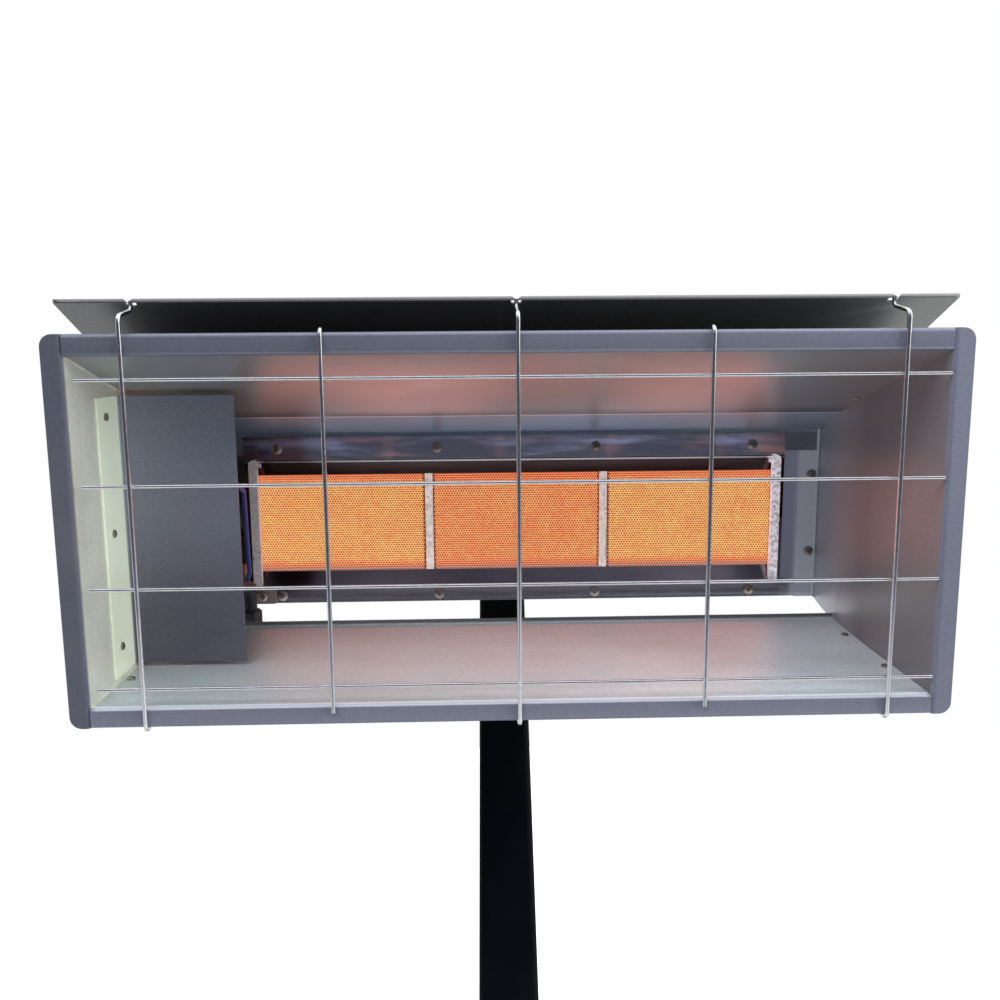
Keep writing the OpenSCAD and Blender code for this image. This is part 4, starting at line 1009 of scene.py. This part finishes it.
def make_screw():
    """A cross-recess pan head screw standing on Z = 0, hidden until it is placed."""
    obj = add_object("pan_screw", lathe("pan_screw", [(r / MM, z / MM) for r, z in PAN_SCREW]))
    for turn in (0, math.pi / 2):
        bm = bmesh.new()
        made = bmesh.ops.create_cube(bm, size=1.0)["verts"]
        bmesh.ops.scale(bm, vec=[v / MM for v in RECESS], verts=made)
        # The recess narrows towards its floor
        for v in made:
            if v.co.z < 0:
                v.co.x *= 0.45
                v.co.y *= 0.6
        bmesh.ops.rotate(bm, cent=(0, 0, 0), matrix=Matrix.Rotation(turn, 3, "Z"), verts=made)
        bmesh.ops.translate(bm, vec=(0, 0, RECESS_Z / MM), verts=made)
        carve(obj, add_object("recess", mesh_from(bm, "recess")))
    soften(obj.data, 35)
    obj.hide_render = True
    return obj


# Pieces

# Pieces that their own operators make
MADE_ELSEWHERE = {
    "left_plaque", "centre_plaque", "right_plaque", "wire_guard", "burner_screws", "shield_screws",
    "seam_screws", "deflector_screws", "cover_screws",
}
# Width of the softened edges in millimetres, and the pieces where it isn't the usual one
USUAL_EDGE = 0.22
EDGES = {
    "left_end_bar": 1.6, "right_end_bar": 1.6, "column": 1.6, "clamp_knob": 0.6, "control_knob": 0.5,
    "gas_valve": 0.8, "injector": 0.4,
}
# Pieces whose finish isn't simply that of their slot
LOOKS = {
    "valve_shield": "shield_sheet", "deflector": "deflector_sheet", "rear_cover": "cover_sheet",
    "lower_rail": "cover_sheet", "probe_bracket": "bracket_steel", "top_panel": "ceiling_sheet",
    "bottom_panel": "floor_sheet",
}


def merged_copy(node, obj):
    """A CAD piece's copy with merged corners and smooth bends."""
    bm = bmesh.new()
    bm.from_mesh(obj.data)
    bmesh.ops.remove_doubles(bm, verts=bm.verts, dist=1e-6)
    bmesh.ops.dissolve_limit(bm, angle_limit=math.radians(0.4), verts=bm.verts, edges=bm.edges)
    made = add_object(node + "_finished", mesh_from(bm, node))
    made.matrix_world = obj.matrix_world
    soften(made.data, 32)
    return made


def soft_edges(obj, edge):
    """Adds softened edges of a width in millimetres."""
    modifier = obj.modifiers.new("edges", "BEVEL")
    modifier.width = edge / MM
    modifier.segments = 2
    modifier.limit_method = "ANGLE"
    modifier.angle_limit = math.radians(50)
    modifier.harden_normals = True


def dress_frame():
    """Gives every CAD piece the finish of its slot, on a copy with softened edges."""
    slots = {s["node"]: s["material_slot"] for s in FRAME["record"]["subparts"]}
    bodies = FRAME["record"]["behaviour"]["bodies"]
    home = {node: body for body, nodes in bodies.items() for node in nodes}
    for name, obj in FRAME["nodes"].items():
        if name in MADE_ELSEWHERE:
            continue
        made = merged_copy(name, obj)
        soft_edges(made, EDGES.get(name, USUAL_EDGE))
        made.data.materials.append(MATERIALS[LOOKS.get(name, slots[name])])
        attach(made, home[name])
        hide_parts(name)


def make_guard():
    """The wire guard's smooth wires in place of the plain ones."""
    g = bpy.context.scene.heater_guard
    wire_r, pitch, side = g.wire_r * MM, g.upright_pitch * MM, g.shift * MM
    # Air between wires and rim, and how deep crossing wires are sunk into each other
    air = sunk = 0.3
    front_y = -wire_r - air
    over = bpy.context.scene.heater_head.rim_top * MM + wire_r + air
    # Every other upright hooks into the deflector: end, straight part and slope of its hook
    hook_y = g.hook_y * MM
    hook_z = deflector_z(g.hook_y) * MM + 0.8
    straight, slope = 5, 9
    # Its lower end runs under the rim and turns up behind it
    under, turned_up = 7.9, 8
    outline = (
        (hook_y, hook_z), (hook_y, hook_z - straight), (front_y, hook_z - slope), (front_y, -over),
        (under, -over), (under, turned_up - over),
    )
    hooked = [[head(side + k * pitch, *p) for p in outline] for k in (-2, 0, 2)]
    # The two plain uprights start on the rim's upper edge and end in front of its lower one
    behind, low = 2.8, -106.5
    plain = [
        head(side - pitch, *p) for p in ((behind, over), (front_y, over), (front_y, low))
    ]
    level_y = front_y + wire_r + g.level_r * MM - sunk
    level_z = 1.5 * g.level_pitch * MM - 1
    level = [head(side + s * g.level_l * MM / 2, level_y, level_z) for s in (-1, 1)]
    common = dict(Bend_Radius=g.bend, Sides=g.sides, Material=MATERIALS["guard_wire"])
    made = [
        grow(
            guide_object("guard_hooked_wires", hooked), "Bent Wires", Count=1,
            Wire_Radius=g.wire_r, **common,
        ),
        grow(
            guide_object("guard_plain_wires", [plain]), "Bent Wires", Count=2,
            Step=Vector((2 * g.upright_pitch, 0, 0)), Wire_Radius=g.wire_r, **common,
        ),
        grow(
            guide_object("guard_level_wires", [level]), "Bent Wires", Count=4,
            Step=head_turn((0, 0, -g.level_pitch)), Wire_Radius=g.level_r, **common,
        ),
    ]
    for obj in made:
        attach(obj, "head")
        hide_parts("wire_guard")


def hole_places(middle):
    """Places of one plaque's holes in staggered rows; middle is the plaque's X in metres."""
    b = bpy.context.scene.heater_burner
    row_h = b.pitch * math.sqrt(3) / 2
    columns = int((b.width - b.pitch / 2) / b.pitch)
    rows = int((b.height - b.pitch) / row_h)
    places = []
    for j in range(rows):
        stagger = 0.25 if j % 2 else -0.25
        z = b.middle_z + (j - (rows - 1) / 2) * row_h
        for i in range(columns):
            x = middle + (i - (columns - 1) / 2 + stagger) * b.pitch
            places.append((head(x * MM, b.face_y * MM, z * MM), (0, 0, 1)))
    return places


def make_plaques():
    """Each plaque's slab, cut back behind its face, under a sheet of real holes."""
    b = bpy.context.scene.heater_burner
    cell = add_object("plaque_cell", make_cell(b.pitch, b.hole_r, b.hole_d))
    cell.hide_render = True
    upright = math.pi / 2 + bpy.context.scene.heater_head.tilt
    back = head_turn((0, 1, 0))
    front = head(0, b.face_y * MM, 0)
    # What lies less than this behind the face is moved to just behind the holes
    skin = 0.001
    behind = b.hole_d + 0.00005
    for k, name in ((-1, "left_plaque"), (0, "centre_plaque"), (1, "right_plaque")):
        sheet = grow(
            point_object(name + "_holes", hole_places(b.middle_x + k * b.spacing)),
            "Staggered Cells", Cell=cell, Turn=(upright, 0, 0), Material=MATERIALS["ceramic"],
        )
        slab = merged_copy(name, FRAME["nodes"][name])
        for v in slab.data.vertices:
            away = (slab.matrix_world @ v.co - front).dot(back)
            if away < skin:
                v.co += back * (behind - away)
        slab.data.materials.append(MATERIALS["ceramic"])
        for obj in (sheet, slab):
            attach(obj, "head")
            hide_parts(name)


def screw_sets():
    """Places and directions of each set of screws, in the head's frame in millimetres."""
    slope = math.atan(CEILING_FALL)
    down = (0, -math.sin(slope), -math.cos(slope))
    seam_x, seam_z = 244, CEILING_Z - 0.5
    seams = []
    for x in (-seam_x, seam_x):
        for y in (52, 120):
            # The bottom panel's inner face rises towards the rear from 100 mm on
            rise = max(0, y - 100) * 1.3 / 60
            seams.append(((x, y, rise - seam_z), (0, 0, 1)))
            seams.append(((x, y, seam_z - y * CEILING_FALL), down))
    burner_y, burner_z, burner_pitch = 199.2, (29.25, -87.5), 123.624
    middle = bpy.context.scene.heater_burner.middle_x * MM
    burner_x = [middle + k * burner_pitch for k in (-1.5, -0.5, 0.5, 1.5)]
    shield_x, shield_y, shield_z = 1 - WALL_X, 53.56, (65, -8, -81)
    land_x, land_y, land_z = (-200, 0, 200), 234, 43
    cover_x, cover_z = (-243.5, 243.5), (5, -57)
    return {
        "burner_screws": [((x, burner_y, z), (0, -1, 0)) for x in burner_x for z in burner_z],
        "shield_screws": [((shield_x, shield_y, z), (1, 0, 0)) for z in shield_z],
        "seam_screws": seams,
        "deflector_screws": [((x, land_y, land_z), (0, 0, 1)) for x in land_x],
        "cover_screws": [((x, FLANGE_Y, z), (0, -1, 0)) for x in cover_x for z in cover_z],
    }


def make_screws():
    """Cross-recess screws in place of the plain ones on the hood."""
    screw = make_screw()
    small = {"seam_screws", "shield_screws"}
    for seed, (name, places) in enumerate(screw_sets().items()):
        guides = point_object(
            name + "_heads", [(head(*p), head_turn(d).normalized()) for p, d in places]
        )
        grow(
            guides, "Fasteners", Fastener=screw, Seed=seed + 3, Size=0.66 if name in small else 1.0,
            Material=MATERIALS["zinc_screw"],
        )
        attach(guides, "head")
        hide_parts(name)


# Studio

# The camera's directions in the head's frame
CAMERA_RIGHT = (0.9996, -0.0272, -0.0079)
CAMERA_AHEAD = (0.0257, 0.9874, -0.1564)


def make_camera():
    """Camera at the photograph's angle."""
    s = bpy.context.scene.heater_studio
    camera = bpy.data.cameras.new("camera")
    camera.lens = s.lens
    camera.sensor_width = 36
    obj = add_object("camera", camera)
    bpy.context.scene.camera = obj
    ahead = head_turn(CAMERA_AHEAD).normalized()
    up = head_turn(CAMERA_RIGHT).cross(ahead).normalized()
    right = ahead.cross(up).normalized()
    turn = Matrix((right, up, -ahead)).transposed().to_4x4()
    obj.matrix_world = Matrix.Translation(head_matrix() @ Vector(s.camera)) @ turn


def make_floor():
    """A pale floor that looks white from the camera and gets dark far in front of the part."""
    bpy.ops.mesh.primitive_plane_add(size=30, location=(0, 0, -0.0005))
    floor = bpy.context.object
    floor.name = "floor"
    tree, shader = start_material("floor")
    where = put(tree, "ShaderNodeTexCoord").outputs["Object"]
    _, y, _ = split(tree, where)
    seen = put(tree, "ShaderNodeLightPath").outputs["Is Camera Ray"]
    pale = mix(tree, noise(tree, where, 60.0, 4.0), (0.86, 0.86, 0.86), (0.92, 0.92, 0.92))
    dim_y, dark_y = -0.7, -1.6
    dim = mix(tree, ramp(tree, y, dim_y, dark_y), (0.5, 0.5, 0.5), (0.05, 0.052, 0.07))
    settings = {
        "Base Color": mix(tree, seen, dim, pale),
        "Emission Color": lit(tree, seen, (0.62, 0.62, 0.62)),
        "Emission Strength": 1.0, "Roughness": 0.9, "Specular IOR Level": 0.1,
    }
    fill(tree, shader, settings)
    floor.data.materials.append(MATERIALS["floor"])


def make_world():
    """A room that the sheet mirrors, and plain white behind the part."""
    world = bpy.data.worlds.new("studio")
    bpy.context.scene.world = world
    world.use_nodes = True
    tree = world.node_tree
    tree.nodes.clear()
    way = put(tree, "ShaderNodeTexCoord").outputs["Generated"]
    x, y, z = split(tree, way)
    blotch = noise(tree, way, 9.0, 3.0)
    room = mix(tree, ramp(tree, blotch, 0.42, 0.58), (0.075, 0.078, 0.135), (0.24, 0.145, 0.13))
    room = mix(tree, ramp(tree, blotch, 0.58, 0.66), room, (0.50, 0.54, 0.70))
    room = mix(tree, ramp(tree, z, 0.15, 0.75), room, (1.15, 1.17, 1.2))
    room = mix(tree, ramp(tree, x, 0.35, 0.95), room, (1.5, 1.55, 1.45))
    room = mix(tree, ramp(tree, y, 0.0, 0.7), room, (1.0, 1.0, 1.0))
    seen = put(tree, "ShaderNodeLightPath").outputs["Is Camera Ray"]
    strength = bpy.context.scene.heater_studio.ambient
    around = put(tree, "ShaderNodeBackground", {"Color": room, "Strength": strength})
    white = put(tree, "ShaderNodeBackground", {"Color": (1, 1, 1), "Strength": 1.0})
    both = put(tree, "ShaderNodeMixShader", {0: seen, 1: around.outputs[0], 2: white.outputs[0]})
    put(tree, "ShaderNodeOutputWorld", {"Surface": both.outputs[0]})


def softbox(name, place, aim, size, power, colour):
    """A soft rectangular lamp that mirrors don't show."""
    light = bpy.data.lights.new(name, "AREA")
    light.shape = "RECTANGLE"
    light.size, light.size_y = size
    light.energy = power
    light.color = colour
    lamp = add_object(name, light)
    lamp.location = place
    lamp.rotation_mode = "QUATERNION"
    lamp.rotation_quaternion = (Vector(aim) - Vector(place)).to_track_quat("-Z", "Y")
    lamp.visible_glossy = False


def make_studio():
    """Camera at the photograph's angle, a pale floor and soft light."""
    s = bpy.context.scene.heater_studio
    make_camera()
    make_floor()
    make_world()
    softbox("right", (1.9, -0.9, 1.5), (0, -0.1, 1.15), (1.2, 1.4), s.key, (0.98, 1.0, 0.95))
    softbox("front", (-0.7, -1.7, 2.1), (0.1, 0, 1.05), (1.6, 0.9), s.fill, (0.95, 0.97, 1.0))
    bpy.context.scene.view_settings.view_transform = "Standard"


# Operators and panel


def make_finishes():
    """Builds the shared effects, the node groups and every finish."""
    for make in (
        make_head_place, make_sheet_skin, make_rust, make_wire_nodes, make_hole_nodes,
        make_fastener_nodes, make_head_materials, make_stand_materials,
    ):
        make()


class HEATER_OT_finishes(bpy.types.Operator):
    """Make the finishes and the node groups that the pieces use"""

    bl_idname = "heater.finishes"
    bl_label = "Finishes"

    def execute(self, context):
        make_finishes()
        return {"FINISHED"}


class HEATER_OT_dress(bpy.types.Operator):
    """Give the CAD pieces their finishes"""

    bl_idname = "heater.dress"
    bl_label = "Dress Pieces"

    def execute(self, context):
        dress_frame()
        return {"FINISHED"}


class HEATER_OT_guard(bpy.types.Operator):
    """Make the wire guard"""

    bl_idname = "heater.guard"
    bl_label = "Wire Guard"

    def execute(self, context):
        make_guard()
        return {"FINISHED"}


class HEATER_OT_plaques(bpy.types.Operator):
    """Make the perforated ceramic plaques"""

    bl_idname = "heater.plaques"
    bl_label = "Ceramic Plaques"

    def execute(self, context):
        make_plaques()
        return {"FINISHED"}


class HEATER_OT_screws(bpy.types.Operator):
    """Make the hood's screws"""

    bl_idname = "heater.screws"
    bl_label = "Screws"

    def execute(self, context):
        make_screws()
        return {"FINISHED"}


class HEATER_OT_studio(bpy.types.Operator):
    """Set up the camera, floor and light"""

    bl_idname = "heater.studio"
    bl_label = "Studio"

    def execute(self, context):
        make_studio()
        return {"FINISHED"}


class HEATER_PT_panel(bpy.types.Panel):
    """Lists the heater's steps"""

    bl_label = "Radiant Heater"
    bl_idname = "HEATER_PT_panel"
    bl_space_type = "VIEW_3D"
    bl_region_type = "UI"
    bl_category = "Heater"

    def draw(self, context):
        for name in STEPS:
            self.layout.operator("heater." + name)


STEPS = ("finishes", "dress", "guard", "plaques", "screws", "studio")
GROUPS = {
    "heater_head": HeaterHead, "heater_guard": HeaterGuard, "heater_deflector": HeaterDeflector,
    "heater_burner": HeaterBurner, "heater_paint": HeaterPaint, "heater_studio": HeaterStudio,
}
CLASSES = (
    *GROUPS.values(), HEATER_OT_finishes, HEATER_OT_dress, HEATER_OT_guard, HEATER_OT_plaques,
    HEATER_OT_screws, HEATER_OT_studio, HEATER_PT_panel,
)


def register():
    for item in CLASSES:
        bpy.utils.register_class(item)
    for name, group in GROUPS.items():
        setattr(bpy.types.Scene, name, PointerProperty(type=group))


def unregister():
    for name in GROUPS:
        delattr(bpy.types.Scene, name)
    for item in reversed(CLASSES):
        bpy.utils.unregister_class(item)


def main():
    register()
    for name in STEPS:
        getattr(bpy.ops.heater, name)()


if __name__ == "__main__":
    main()
